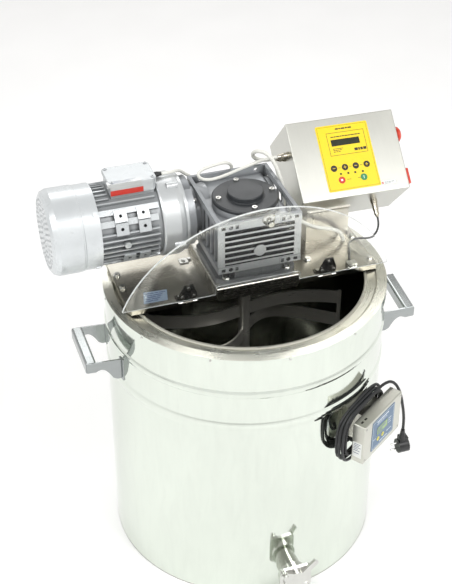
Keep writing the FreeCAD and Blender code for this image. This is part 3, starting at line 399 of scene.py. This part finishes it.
def mat_turned(name, col, rough=0.28, dens=1.0, dark=0.8, sheen_wedge_dark=0.72, depth=0.25):
    """sheet finished in circles about the drum axis, with darker angular wedges painted in as sheen"""
    m = Mat(name)
    m.set(Metallic=1.0, Anisotropic=0.6)
    vec, r, a, z = m.polar(420.0 * dens, 1.6, 30.0)
    lines = m.noise(vec, 1.0, 5.0, 0.7)
    wedge_v = m.polar(2.0, 2.4, 1.0)[0]
    wedge = m.noise(wedge_v, 1.7, 3.0, 0.5, 0.2)
    c = m.mix(m.range(lines, 0.3, 0.7, 0.0, 1.0), scaled(col, dark), scaled(col, 1.08))
    # painted reflection: darker angular wedges in the colour stand for the wedge-shaped sheen of a turned finish
    c = m.mix(m.range(wedge, 0.35, 0.65, 0.0, 0.6), c, scaled(col, sheen_wedge_dark))
    m.color(c)
    m.rough(m.math("ADD", m.range(lines, 0.3, 0.7, rough * 0.8, rough * 1.2), m.range(wedge, 0.35, 0.65, -0.05, 0.08)))
    m.normal(m.bump(lines, depth, 0.0003))
    return m.m


def mat_paint(name, col, rough=0.42, metallic=0.0, speck=0.10, orange=0.25, hollow_shade=None, coat=0.0, scale=1.0, spec=0.5):
    """sprayed or cast surface: orange peel, fine specks, and painted shade darkening the hollows found by ambient
    occlusion
    """
    m = Mat(name)
    m.set(Metallic=metallic, Coat_Weight=coat, Coat_Roughness=0.25, Specular_IOR_Level=spec)
    v = m.coord()
    peel = m.noise(v, 620.0 * scale, 3.0, 0.6)
    speckn = m.noise(v, 1500.0 * scale, 2.0, 0.6)
    cloud = m.noise(v, 16.0 * scale, 5.0, 0.6, 0.4)
    c = m.mix(m.range(speckn, 0.35, 0.65, 0.0, 1.0), scaled(col, 1.0 - speck), scaled(col, 1.0 + speck * 0.6))
    c = m.mix(m.range(cloud, 0.4, 0.75, 0.0, 0.6), c, scaled(col, 0.84))
    # painted shade: faces in hollows, found by ambient occlusion, are darkened towards the given colour
    if hollow_shade:
        ao = m.n("ShaderNodeAmbientOcclusion", samples=6, only_local=True)
        ao.inputs["Distance"].default_value = hollow_shade[1]
        f = m.range(ao.outputs["AO"], 0.25, 0.85, hollow_shade[2] if len(hollow_shade) > 2 else 0.75, 0.0)
        c = m.mix(f, c, hollow_shade[0])
    m.color(c)
    m.rough(m.math("ADD", m.range(cloud, 0.35, 0.7, rough * 0.88, rough * 1.15), m.range(speckn, 0.3, 0.7, -0.03, 0.03)))
    m.normal(m.bump(peel, orange, 0.0004))
    return m.m


def mat_plastic(name, col, rough=0.4, grain=0.2, gscale=900.0, dust=0.06, coat=0.0):
    m = Mat(name)
    m.set(Coat_Weight=coat, Coat_Roughness=0.12)
    v = m.coord()
    g = m.noise(v, gscale, 2.0, 0.5)
    cloud = m.noise(v, 38.0, 4.0, 0.6)
    lift = tuple(min(1.0, c + dust) for c in col)
    c = m.mix(m.range(cloud, 0.42, 0.75, 0.0, 0.6), col, lift)
    m.color(m.mix(m.range(g, 0.4, 0.6, 0.0, 0.35), c, scaled(col, 0.82)))
    m.rough(m.range(cloud, 0.35, 0.7, rough * 0.85, rough * 1.2))
    m.normal(m.bump(g, grain, 0.0002))
    return m.m


def mat_clear(name, tint, rough=0.02, haze=1.0):
    m = Mat(name)
    m.set(Transmission_Weight=haze, IOR=1.49, Metallic=0.0)
    v = m.coord()
    smear = m.noise(v, 18.0, 5.0, 0.6, 0.6)
    m.color(m.mix(m.range(smear, 0.4, 0.7, 0.0, 1.0), tint, scaled(tint, 0.985)))
    m.rough(m.range(smear, 0.4, 0.75, rough * 0.5, rough * 2.2))
    return m.m


# ------------------------------------------------------------------ finishes
STEEL = srgb(226, 232, 224)
JACKET = mat_polished("polished_jacket", srgb(222, 228, 219), 0.08, 0.05, 0.22)
TANK = mat_polished("tank_interior", srgb(188, 189, 182), 0.15, 0.12, 0.05)
RIMM = mat_turned("turned_rim", srgb(214, 213, 202), 0.30, 1.0, 0.95, 0.94, 0.1)
BRIDGE = mat_brushed("bridge_sheet", srgb(188, 185, 175), 0.25, (0.7, 34, 20), depth=0.06, warm=srgb(166, 161, 149), vary=0.5)
BRACKET = mat_brushed("bracket_sheet", srgb(205, 202, 194), 0.30, (30, 30, 1))
CONSOLE = mat_brushed("console_sheet", srgb(202, 202, 195), 0.34, (22, 1.0, 1.0), depth=0.0, aniso=0.0, warm=srgb(206, 206, 199), vary=0.2)
CTLBOX = mat_brushed("controller_sheet", srgb(206, 206, 197), 0.34, (2, 2, 60), depth=0.0, aniso=0.0, warm=srgb(198, 197, 188), vary=0.3)
HANDLE = mat_brushed("handle_steel", srgb(164, 168, 168), 0.17, (2, 28, 28), depth=0.08, vary=0.5)
STIR = mat_brushed("stirrer_steel", srgb(184, 183, 176), 0.30, (3, 3, 26), depth=0.0, aniso=0.0, warm=srgb(166, 164, 156), metal=0.78, vary=0.4)
CHROME = mat_polished("bright_steel", srgb(214, 214, 210), 0.16, 0.12, 0.05)
# painted reflection: the polished hinge steel gets a dark colour standing for the dark surroundings it mirrors
HINGE_DARK_REFLECTION = mat_polished("hinge_steel_painted_dark_reflection", srgb(112, 109, 102), 0.20, 0.2, 0.1)
NICKEL = mat_polished("nickel", srgb(196, 190, 176), 0.22, 0.15, 0.05)
# the last tuple in these calls is painted shade for the hollows: colour, reach, strength
MOTOR = mat_paint("motor_enamel", srgb(200, 204, 206), 0.30, 0.45, 0.05, 0.12, (srgb(48, 50, 51), 0.014, 0.82))
COWL = mat_paint("cowl_enamel", srgb(212, 216, 218), 0.30, 0.4, 0.04, 0.06)
SHIELD = mat_paint("shield_enamel", srgb(206, 209, 210), 0.32, 0.45, 0.05, 0.15, (srgb(110, 112, 112), 0.02, 0.5))
CAST = mat_paint("cast_grey", srgb(172, 175, 178), 0.36, 0.4, 0.08, 0.3, (srgb(44, 46, 48), 0.018, 0.75))
# painted highlight: a lighter copy of the cast grey, given to the front faces of the gearbox that face the light
CAST_LIT_FRONT = mat_paint("cast_front_painted_highlight", srgb(212, 215, 217), 0.32, 0.55, 0.06, 0.25, None)
# painted shade: a darker copy of the cast grey for the top face
CAST_SHADED_TOP = mat_paint("cast_top_painted_shade", srgb(132, 135, 138), 0.38, 0.5, 0.08, 0.35, (srgb(40, 41, 42), 0.02, 0.7))
# painted shade: a dark copy of the cast grey for the gaps between the front fins
CAST_SHADED_GAPS = mat_paint("cast_gaps_painted_shade", srgb(70, 73, 76), 0.42, 0.4, 0.10, 0.3, (srgb(16, 17, 18), 0.012, 0.9))
# painted shade: a darker copy of the motor enamel for the gaps between the fins
MOTOR_FIN_GAP_SHADE = mat_paint("motor_fin_gaps_painted_shade", srgb(160, 163, 165), 0.36, 0.4, 0.05, 0.12, (srgb(48, 50, 51), 0.012, 0.85))
CASTD = mat_paint("flange_grey", srgb(146, 149, 151), 0.40, 0.45, 0.08, 0.4, (srgb(60, 61, 62), 0.02, 0.6))
PEDES = mat_brushed("pedestal_sheet", srgb(214, 212, 205), 0.26, (2, 30, 30), depth=0.15, warm=srgb(188, 184, 172))
COVER = mat_paint("cover_black", srgb(50, 53, 56), 0.40, 0.0, 0.12, 0.5, None)
BLACKP = mat_plastic("black_plastic", srgb(26, 27, 28), 0.38)
RUBBER = mat_plastic("cord_black", srgb(30, 31, 33), 0.46, 0.35, 1400.0, 0.02)
CABLE = mat_plastic("cord_grey", srgb(228, 228, 221), 0.42, 0.2, 1200.0, 0.0)
LEAD = mat_plastic("lead_dark", srgb(58, 60, 60), 0.45, 0.2, 1200.0, 0.02)
YELLOW = mat_plastic("film_yellow", srgb(246, 214, 30), 0.36, 0.12, 700.0, 0.0, 0.2)
BLUE = mat_plastic("film_blue", srgb(74, 106, 138), 0.34, 0.12, 700.0, 0.02, 0.2)
KEYBLACK = mat_plastic("key_black", srgb(34, 33, 26), 0.30, 0.1, 700.0, 0.0, 0.3)
KEYRED = mat_plastic("key_red", srgb(206, 62, 44), 0.30, 0.1, 700.0, 0.0, 0.3)
KEYGREEN = mat_plastic("key_green", srgb(52, 138, 84), 0.30, 0.1, 700.0, 0.0, 0.3)
KEYYEL = mat_plastic("key_yellow", srgb(226, 216, 60), 0.32, 0.1, 700.0, 0.0, 0.3)
REDP = mat_plastic("red_plastic", srgb(218, 60, 34), 0.30, 0.1, 700.0, 0.0, 0.3)
YELP = mat_plastic("yellow_plastic", srgb(238, 200, 40), 0.36, 0.1, 700.0, 0.0, 0.1)
CLEAR = mat_clear("clear_sheet", (0.985, 0.992, 0.985), 0.012, haze=0.985)
CEDGE = mat_clear("clear_sheet_edge", (0.93, 0.965, 0.95), 0.25, haze=0.30)
INSUL = mat_paint("mineral_wool", srgb(196, 186, 140), 0.9, 0.0, 0.25, 1.0)
SILIC = mat_plastic("silicone_orange", srgb(196, 96, 52), 0.5)
BRONZE = mat_polished("bronze", srgb(176, 128, 70), 0.28, 0.2, 0.1)
LAMIN = mat_brushed("laminations", srgb(120, 116, 110), 0.4, (120, 2, 2))
FANP = mat_plastic("fan_plastic", srgb(70, 72, 74), 0.5)
BASE = mat_turned("base_sheet", srgb(190, 190, 184), 0.34)


def paint(mat, *names):
    for n in names:
        me = NODES[n].data
        me.materials.clear()
        me.materials.append(mat)


def paint_faces(node, mats, pick):
    """pick(centre, normal) gives the index of the finish of each face"""
    me = NODES[node].data
    me.materials.clear()
    for m in mats:
        me.materials.append(m)
    for p in me.polygons:
        p.material_index = pick(p.center, p.normal)


paint(JACKET, "outer_jacket")
paint(TANK, "inner_tank")
paint_faces("rim_ring", [RIMM, JACKET], lambda c, n: 1 if math.hypot(c.x, c.y) > 0.345 and abs(n.z) < 0.6 else 0)
paint(BASE, "base_plate", "rear_cover")
paint(BRIDGE, "bridge_plate")
paint(CONSOLE, "console_housing")
paint(BRACKET, "console_bracket", "cord_wrap_bracket")
paint(CTLBOX, "controller_box")
paint(HANDLE, "carry_handles")
paint(STIR, "stirrer", "output_shaft", "worm_shaft")
paint(CHROME, "bridge_bolts", "gearbox_bolts", "pan_head_screws", "lid_knob", "lid_sensor", "gate_body", "gate_blade", "shaft_bearings")
paint(MOTOR, "motor_housing", "terminal_box", "terminal_box_lid")
paint(COWL, "fan_cowl")
paint(SHIELD, "motor_end_shield")
paint(CASTD, "output_flange")
paint(PEDES, "gearbox_pedestal")
paint(COVER, "gearbox_cover")
paint(YELLOW, "membrane_panel")
paint(BLUE, "controller_panel")
paint(KEYBLACK, "key_1", "key_2", "key_3", "key_4")
paint(KEYRED, "key_stop")
paint(KEYGREEN, "key_start")
paint(KEYYEL, "controller_key_1", "controller_key_2")
paint(REDP, "estop_button")
con_x = (con(1, 0, 0) - con(0, 0, 0)).normalized()
paint_faces("main_switch_knob", [REDP, YELP], lambda c, n: 1 if (c - con(280, 0, 0)).dot(con_x) < 0.0104 else 0)
paint(INSUL, "insulation_blanket")
paint(SILIC, "heating_band")
paint(BRONZE, "worm_wheel")
paint(LAMIN, "motor_stator", "motor_rotor")
paint(FANP, "cooling_fan")


def lid_flat(c):
    """a point of the open lid, turned back to the closed lid; mm from the rim"""
    v = Vector((c.x, c.y + 0.097, c.z - RIM - 0.019))
    v = Matrix.Rotation(math.radians(79.0), 3, "X") @ v
    return Vector((v.x / MM, v.y / MM - 97.0, v.z / MM + 19.0))


LID_N = Matrix.Rotation(math.radians(-79.0), 3, "X") @ Vector((0, 0, 1))
paint_faces("front_lid", [CLEAR, CEDGE], lambda c, n: 0 if abs(n.dot(LID_N)) > 0.9 else 1)
paint_faces("lid_hinge_leaves", [HINGE_DARK_REFLECTION, CHROME], lambda c, n: 1 if lid_flat(c).z > 23.8 or lid_flat(c).z < 16.45 and lid_flat(c).y < -108 else 0)
paint_faces("lid_hinge_base", [HINGE_DARK_REFLECTION, CHROME], lambda c, n: 1 if c.z > RIM + 0.0185 and n.z > 0.5 else 0)
pin_x = ctl(147, 401, -458).x
paint_faces("mains_plug", [BLACKP, CHROME], lambda c, n: 1 if c.x < pin_x - 0.0132 else 0)
gb = [v.co for v in NODES["gearbox_housing"].data.vertices]
gb_x, gb_y, gb_z = min(v.x for v in gb), min(v.y for v in gb), max(v.z for v in gb)


# lit and shaded copies of one cast grey by where a face lies: painted highlight on the front, painted shade on the top
# and in the gaps of the front fins
def cast_pick(c, n):
    # top face: painted shade
    if n.z > 0.9 and c.z > gb_z - 0.022:
        return 2
    # front faces: painted highlight
    if n.y < -0.5 and c.y < gb_y + 0.0045:
        return 1
    # gaps between the front fins: painted shade
    if c.y < gb_y + 0.0088 and abs(c.x) < 0.0885 and 0.105 < c.z - RIM < 0.201:
        return 3
    return 0


# faces inside the fin tips of the motor, in the gaps between the fins, get the painted shade
def motor_pick(c, n):
    return 1 if math.hypot(c.y - 0.090, c.z - RIM - 0.157) < 0.0905 else 0


paint_faces("gearbox_housing", [CAST, CAST_LIT_FRONT, CAST_SHADED_TOP, CAST_SHADED_GAPS], cast_pick)
paint_faces("motor_housing", [MOTOR, MOTOR_FIN_GAP_SHADE], motor_pick)
es_c = con(280, 152, -48)
paint_faces("switch_plates", [YELP, YELP], lambda c, n: 0 if (c - es_c).length < 0.03 else 1)
paint_faces("cable_glands", [NICKEL, BLACKP], lambda c, n: 1 if c.x < 0 else 0)
for o in (CORD["motor_lead"], CORD["console_lead"]):
    o.data.materials.append(CABLE)
RELIEF.data.materials.append(BLACKP)
CORD["lid_switch_lead"].data.materials.append(LEAD)
CORD["mains_lead"].data.materials.append(RUBBER)


# ------------------------------------------------------------------ small printed and added pieces
INK = mat_plastic("print_black", srgb(34, 32, 24), 0.4, 0.1, 900.0, 0.03)
INKW = mat_plastic("print_white", srgb(226, 234, 240), 0.4, 0.1, 900.0, 0.0)
INKB = mat_plastic("print_navy", srgb(52, 74, 116), 0.4, 0.1, 900.0, 0.02)
LCDD = mat_plastic("display_dark", srgb(38, 42, 24), 0.18, 0.05, 900.0, 0.02, 0.6)
LCDG = mat_plastic("display_green", srgb(122, 158, 96), 0.2, 0.05, 900.0, 0.03, 0.6)
PRINTG = mat_plastic("print_grey", srgb(120, 126, 134), 0.4, 0.1, 900.0, 0.03)
LABEL = mat_plastic("label_white", srgb(232, 234, 230), 0.4, 0.1, 700.0, 0.0)
LABELB = mat_plastic("label_blue", srgb(150, 170, 192), 0.4, 0.15, 700.0, 0.03)
FOIL = mat_brushed("label_foil", srgb(198, 200, 200), 0.34, (2, 20, 20), depth=0.1)
REDL = mat_plastic("label_red", srgb(196, 52, 40), 0.4, 0.1, 700.0, 0.0)
LED = mat_plastic("lamp_dark", srgb(44, 50, 26), 0.25, 0.05, 700.0, 0.0, 0.5)


def slabs(name, place, items, mats, body="drum"):
    """thin boxes (x0, x1, y0, y1, z0, z1, finish) in a local frame, as one piece"""
    verts, faces, idx = [], [], []
    for x0, x1, y0, y1, z0, z1, k in items:
        b = len(verts)
        for x, y, z in ((x0, y0, z0), (x1, y0, z0), (x1, y1, z0), (x0, y1, z0), (x0, y0, z1), (x1, y0, z1), (x1, y1, z1), (x0, y1, z1)):
            verts.append(tuple(place(x, y, z)))
        for f in ((0, 3, 2, 1), (4, 5, 6, 7), (0, 1, 5, 4), (1, 2, 6, 5), (2, 3, 7, 6), (3, 0, 4, 7)):
            faces.append(tuple(b + q for q in f))
            idx.append(k)
    me = bpy.data.meshes.new(name)
    me.from_pydata(verts, [], faces)
    for m in mats:
        me.materials.append(m)
    for p, k in zip(me.polygons, idx):
        p.material_index = k
    bm = bmesh.new()
    bm.from_mesh(me)
    bmesh.ops.recalc_face_normals(bm, faces=bm.faces)
    bm.to_mesh(me)
    bm.free()
    ob = bpy.data.objects.new(name, me)
    scene.collection.objects.link(ob)
    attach(ob, body)
    return ob


def frame_lines(x0, x1, y0, y1, w, z0, z1, k):
    return [(x0, x1, y0, y0 + w, z0, z1, k), (x0, x1, y1 - w, y1, z0, z1, k), (x0, x0 + w, y0 + w, y1 - w, z0, z1, k),
            (x1 - w, x1, y0 + w, y1 - w, z0, z1, k)]


def bars(x0, y, h, words, z0, z1, k, gap=1.2):
    """a line of plain bars standing for small print"""
    out, x = [], x0
    for wd in words:
        out.append((x, x + wd, y, y + h, z0, z1, k))
        x += wd + gap
    return out


Z0, Z1 = 1.0, 1.14
items = frame_lines(96, 194, 107, 166, 1.0, Z0, Z1, 0)
items += frame_lines(75, 203.5, 20.5, 182.5, 0.6, Z0, Z1, 0)
items += bars(106, 153.5, 2.6, (7, 5, 9, 4, 6, 8, 5, 9, 7, 6), Z0, Z1, 0)
items += bars(106, 123.5, 1.6, (5, 3, 4, 6, 3), Z0, Z1, 0) + bars(106, 119.6, 1.6, (4, 6, 3, 5), Z0, Z1, 0) + bars(106, 115.7, 1.6, (6, 4, 5), Z0, Z1, 0)
items += bars(160, 113.5, 7.0, (9, 4, 6, 8), Z0, Z1, 0, 1.4)
items += bars(122, 172.6, 3.6, (8, 4, 10, 5, 9), Z0, Z1, 0, 1.5)
for x in (107.5, 136.0, 164.5):
    items += [(x, x + 6.0, 74.8, 75.8, Z0, Z1, 0)]
for x in (124.0, 152.0):
    items += [(x, x + 10.0, 43.2, 44.2, Z0, Z1, 0)]
for x, y in ((111, 59.6), (130.2, 59.2), (148.2, 58.8), (168, 58.6)):
    items += [(x - 2.4, x + 2.4, y - 2.4, y + 2.4, Z0, Z1 + 0.3, 1)]
items += [(104.3, 178.3, 131.3, 147.9, 0.62, 0.86, 2)]
slabs("console_print", con, items, [INK, LED, LCDD])
for key, marks, mk in (("key_1", ((-3.6, 3.6, -0.7, 0.7),), YELP), ("key_2", ((-3.6, 3.6, -0.7, 0.7), (-0.7, 0.7, -3.6, 3.6)), YELP),
                       ("key_3", ((-3.6, 3.6, -0.7, 0.7),), YELP), ("key_4", ((-3.6, 3.6, -0.7, 0.7), (-0.7, 0.7, -3.6, 3.6)), YELP),
                       ("key_stop", ((-2.6, 2.6, -2.6, 2.6),), INKW), ("key_start", ((-0.8, 0.8, -3.6, 3.6),), INKW)):
    kx, ky = {"key_1": (96.6, 75.3), "key_2": (125.2, 75.3), "key_3": (153.6, 75.3), "key_4": (182.2, 75.3),
              "key_stop": (110.3, 43.8), "key_start": (167.8, 43.8)}[key]
    slabs(key + "_mark", con, [(kx + a0, kx + a1, ky + b0, ky + b1, 1.15, 1.34, 0) for a0, a1, b0, b1 in marks], [mk], key)
slabs("console_sticker", con, [(207.5, 248, 15.5, 28.0, 0.02, 0.22, 0)] + bars(217, 21.6, 1.6, (5, 3, 6, 8), 0.22, 0.28, 2) + bars(217, 18.6, 1.2, (8, 6), 0.22, 0.28, 2) + [(210.5, 214.0, 18.5, 24.0, 0.22, 0.28, 3)] +
      frame_lines(208.3, 247.2, 16.2, 27.3, 0.4, 0.22, 0.28, 2), [LABEL, INK, PRINTG, REDL])
# backing plate under the turning switch, in the yellow plastic
slabs("main_switch_backing", con, [(282.02, 282.5, 20.5, 61.5, -68.5, -27.5, 0)], [YELP])

DF = CTL_FRONT + 0.8


def pan(x, y, z):
    """controller panel frame: z out of the panel"""
    return ctl(x, DF + z, y)


items = frame_lines(-48.5, 48.5, -326.5, -243.5, 0.7, 0.0, 0.14, 0)
items += bars(-30, -252.5, 3.4, (12, 6, 14, 9, 8), 0.0, 0.14, 0) + bars(-30, -258.5, 1.6, (8, 5, 7, 9, 4, 7), 0.0, 0.14, 0)
items += [(-28, 20, -292, -270, 0.0, 0.5, 1)] + frame_lines(-29.4, 21.4, -293.4, -268.6, 1.2, 0.0, 0.3, 2)
items += bars(-24, -279.5, 5.0, (5, 5, 5, 5, 5), 0.5, 0.56, 2, 2.2) + bars(-24, -288.5, 5.0, (5, 5, 5), 0.5, 0.56, 2, 2.2)
items += bars(26, -276, 1.8, (5, 7), 0.0, 0.14, 0) + bars(26, -283, 1.8, (7, 4), 0.0, 0.14, 0) + bars(26, -290, 1.8, (4, 6), 0.0, 0.14, 0)
items += bars(-14, -322, 2.2, (9, 5, 12, 7), 0.0, 0.14, 0) + bars(20, -312, 2.2, (8, 5, 6), 0.0, 0.14, 0) + bars(-44, -300, 1.8, (6, 4), 0.0, 0.14, 0)
slabs("controller_print", pan, items, [INKW, LCDG, INKB])
for key, kx, sign in (("controller_key_1", -21.0, 0), ("controller_key_2", 1.0, 1)):
    m = [(kx - 2.6, kx + 2.6, -307.5, -306.5, 0.62, 0.78, 0)] + ([(kx - 0.5, kx + 0.5, -309.6, -304.4, 0.62, 0.78, 0)] if sign else [])
    slabs(key + "_mark", pan, m, [INK], key)


def ctl_side(x, y, z):
    """left wall of the controller: x along the depth, z out of the wall"""
    return ctl(-CTL_HALF - z, x, y)


slabs("controller_label", ctl_side, [(CTL_FRONT - 31, CTL_FRONT - 6, -330, -284, 0.02, 0.22, 0)] +
      [(CTL_FRONT - 28, CTL_FRONT - 28 + w0, y, y + 1.6, 0.22, 0.3, 1) for w0, y in ((18, -290), (14, -295), (19, -300), (12, -305), (17, -310), (15, -318))],
      [LABEL, INKB])
# small fittings on the controller's upper left edge
slabs("controller_vents", lambda x, y, z: ctl(x, y, z), [(x, x + 9.0, CTL_FRONT - 20.5, CTL_FRONT - 15.5, CTL_TOPZ + 0.02, CTL_TOPZ + 0.3, 0) for x in (-76, -60)], [INK])
# foil label over the front edge of the terminal box cover, with its red strip below
slabs("rating_label", rim, [(-321, -238, 48.3, 63.0, 283.05, 283.35, 0), (-321, -238, 47.55, 47.95, 275.0, 283.0, 0),
                            (-313, -236, 51.5, 51.9, 264.0, 273.8, 0), (-313, -234, 51.5, 51.98, 250.2, 264.0, 1)] +
      [(-316 + 2 * i, -316 + 2 * i + w0, y, y + 0.9, 283.35, 283.42, 2) for i, (w0, y) in enumerate(((30, 60.5), (50, 57.5), (40, 54.5), (46, 51.5)))] +
      [(-276, -276 + w0, y, y + 0.9, 283.35, 283.42, 2) for w0, y in ((26, 60.5), (18, 54.5))], [FOIL, REDL, INKB])
# pale label on the bridge sheet
q = ((-264.2, -18.7), (-206.7, -22.7), (-216.7, -65.2), (-275.7, -64.7))


def on_label(x, y, z):
    """x 0..1 along the label, y 0..1 up it"""
    ax, ay = q[3][0] * (1 - x) + q[2][0] * x, q[3][1] * (1 - x) + q[2][1] * x
    bx, by = q[0][0] * (1 - x) + q[1][0] * x, q[0][1] * (1 - x) + q[1][1] * x
    return rim(ax * (1 - y) + bx * y, ay * (1 - y) + by * y, 15.0 + z)


items = [(0, 1, 0, 1, 0.02, 0.2, 0)]
for y, runs in ((0.80, ((0.10, 0.42), (0.48, 0.62), (0.66, 0.92))), (0.62, ((0.14, 0.36), (0.40, 0.80))), (0.46, ((0.16, 0.52), (0.56, 0.74))),
                (0.30, ((0.10, 0.30), (0.34, 0.70))), (0.14, ((0.08, 0.40), (0.44, 0.60)))):
    items += [(x0, x1, y, y + 0.07, 0.2, 0.27, 1) for x0, x1 in runs]
slabs("bridge_label", on_label, items, [LABELB, INKB])


# ------------------------------------------------------------------ room and light
def area(name, loc, look, size, power, col=(1, 1, 1)):
    d = bpy.data.lights.new(name, "AREA")
    d.shape = "RECTANGLE"
    d.size, d.size_y = size
    d.energy = power
    d.color = col
    o = bpy.data.objects.new(name, d)
    o.location = loc
    o.rotation_euler = (Vector(look) - Vector(loc)).to_track_quat("-Z", "Y").to_euler()
    scene.collection.objects.link(o)
    return o


area("soft_top_left", (-2.2, -1.6, 3.6), (0, 0, 0.8), (1.8, 1.4), 55)
area("soft_front_right", (1.6, -2.6, 3.2), (0.1, 0, 0.9), (1.8, 1.6), 50)
area("soft_into_drum", (0.25, -1.25, 2.5), (0.0, -0.05, 0.55), (0.5, 0.4), 5)
area("soft_back", (0.6, 2.6, 3.4), (0, 0, 0.8), (2.4, 1.2), 30)

w = bpy.data.worlds.new("studio")
scene.world = w
w.use_nodes = True
nt = w.node_tree
nt.nodes.clear()
wo = nt.nodes.new("ShaderNodeOutputWorld")
bg = nt.nodes.new("ShaderNodeBackground")
tc = nt.nodes.new("ShaderNodeTexCoord")
sx = nt.nodes.new("ShaderNodeSeparateXYZ")
rp = nt.nodes.new("ShaderNodeValToRGB")
nt.links.new(tc.outputs["Generated"], sx.inputs[0])
nt.links.new(sx.outputs[2], rp.inputs[0])
nt.links.new(rp.outputs[0], bg.inputs["Color"])
nt.links.new(bg.outputs[0], wo.inputs["Surface"])
bg.inputs["Strength"].default_value = 1.0
el = rp.color_ramp.elements
el[0].position, el[0].color = 0.0, (1.0, 1.0, 1.0, 1)
el[1].position, el[1].color = 1.0, (0.44, 0.44, 0.44, 1)
for pos, v in ((0.12, (1.0, 1.0, 0.99)), (0.35, (0.86, 0.85, 0.83)), (0.62, (0.60, 0.59, 0.57))):
    e = el.new(pos)
    e.color = (*v, 1)

fl = bpy.data.meshes.new("floor")
fl.from_pydata([(-14, -14, 0), (14, -14, 0), (14, 14, 0), (-14, 14, 0)], [], [(0, 1, 2, 3)])
floor = bpy.data.objects.new("floor", fl)
scene.collection.objects.link(floor)
fm = Mat("floor_white")
fm.set(Roughness=0.9, Emission_Color=(1, 1, 1, 1), Emission_Strength=0.16)
fm.color(fm.mix(fm.range(fm.noise(fm.coord(), 3.0), 0.4, 0.6, 0.0, 1.0), (0.90, 0.90, 0.90), (0.92, 0.92, 0.92)))
fl.materials.append(fm.m)
floor.location.z = -0.0005
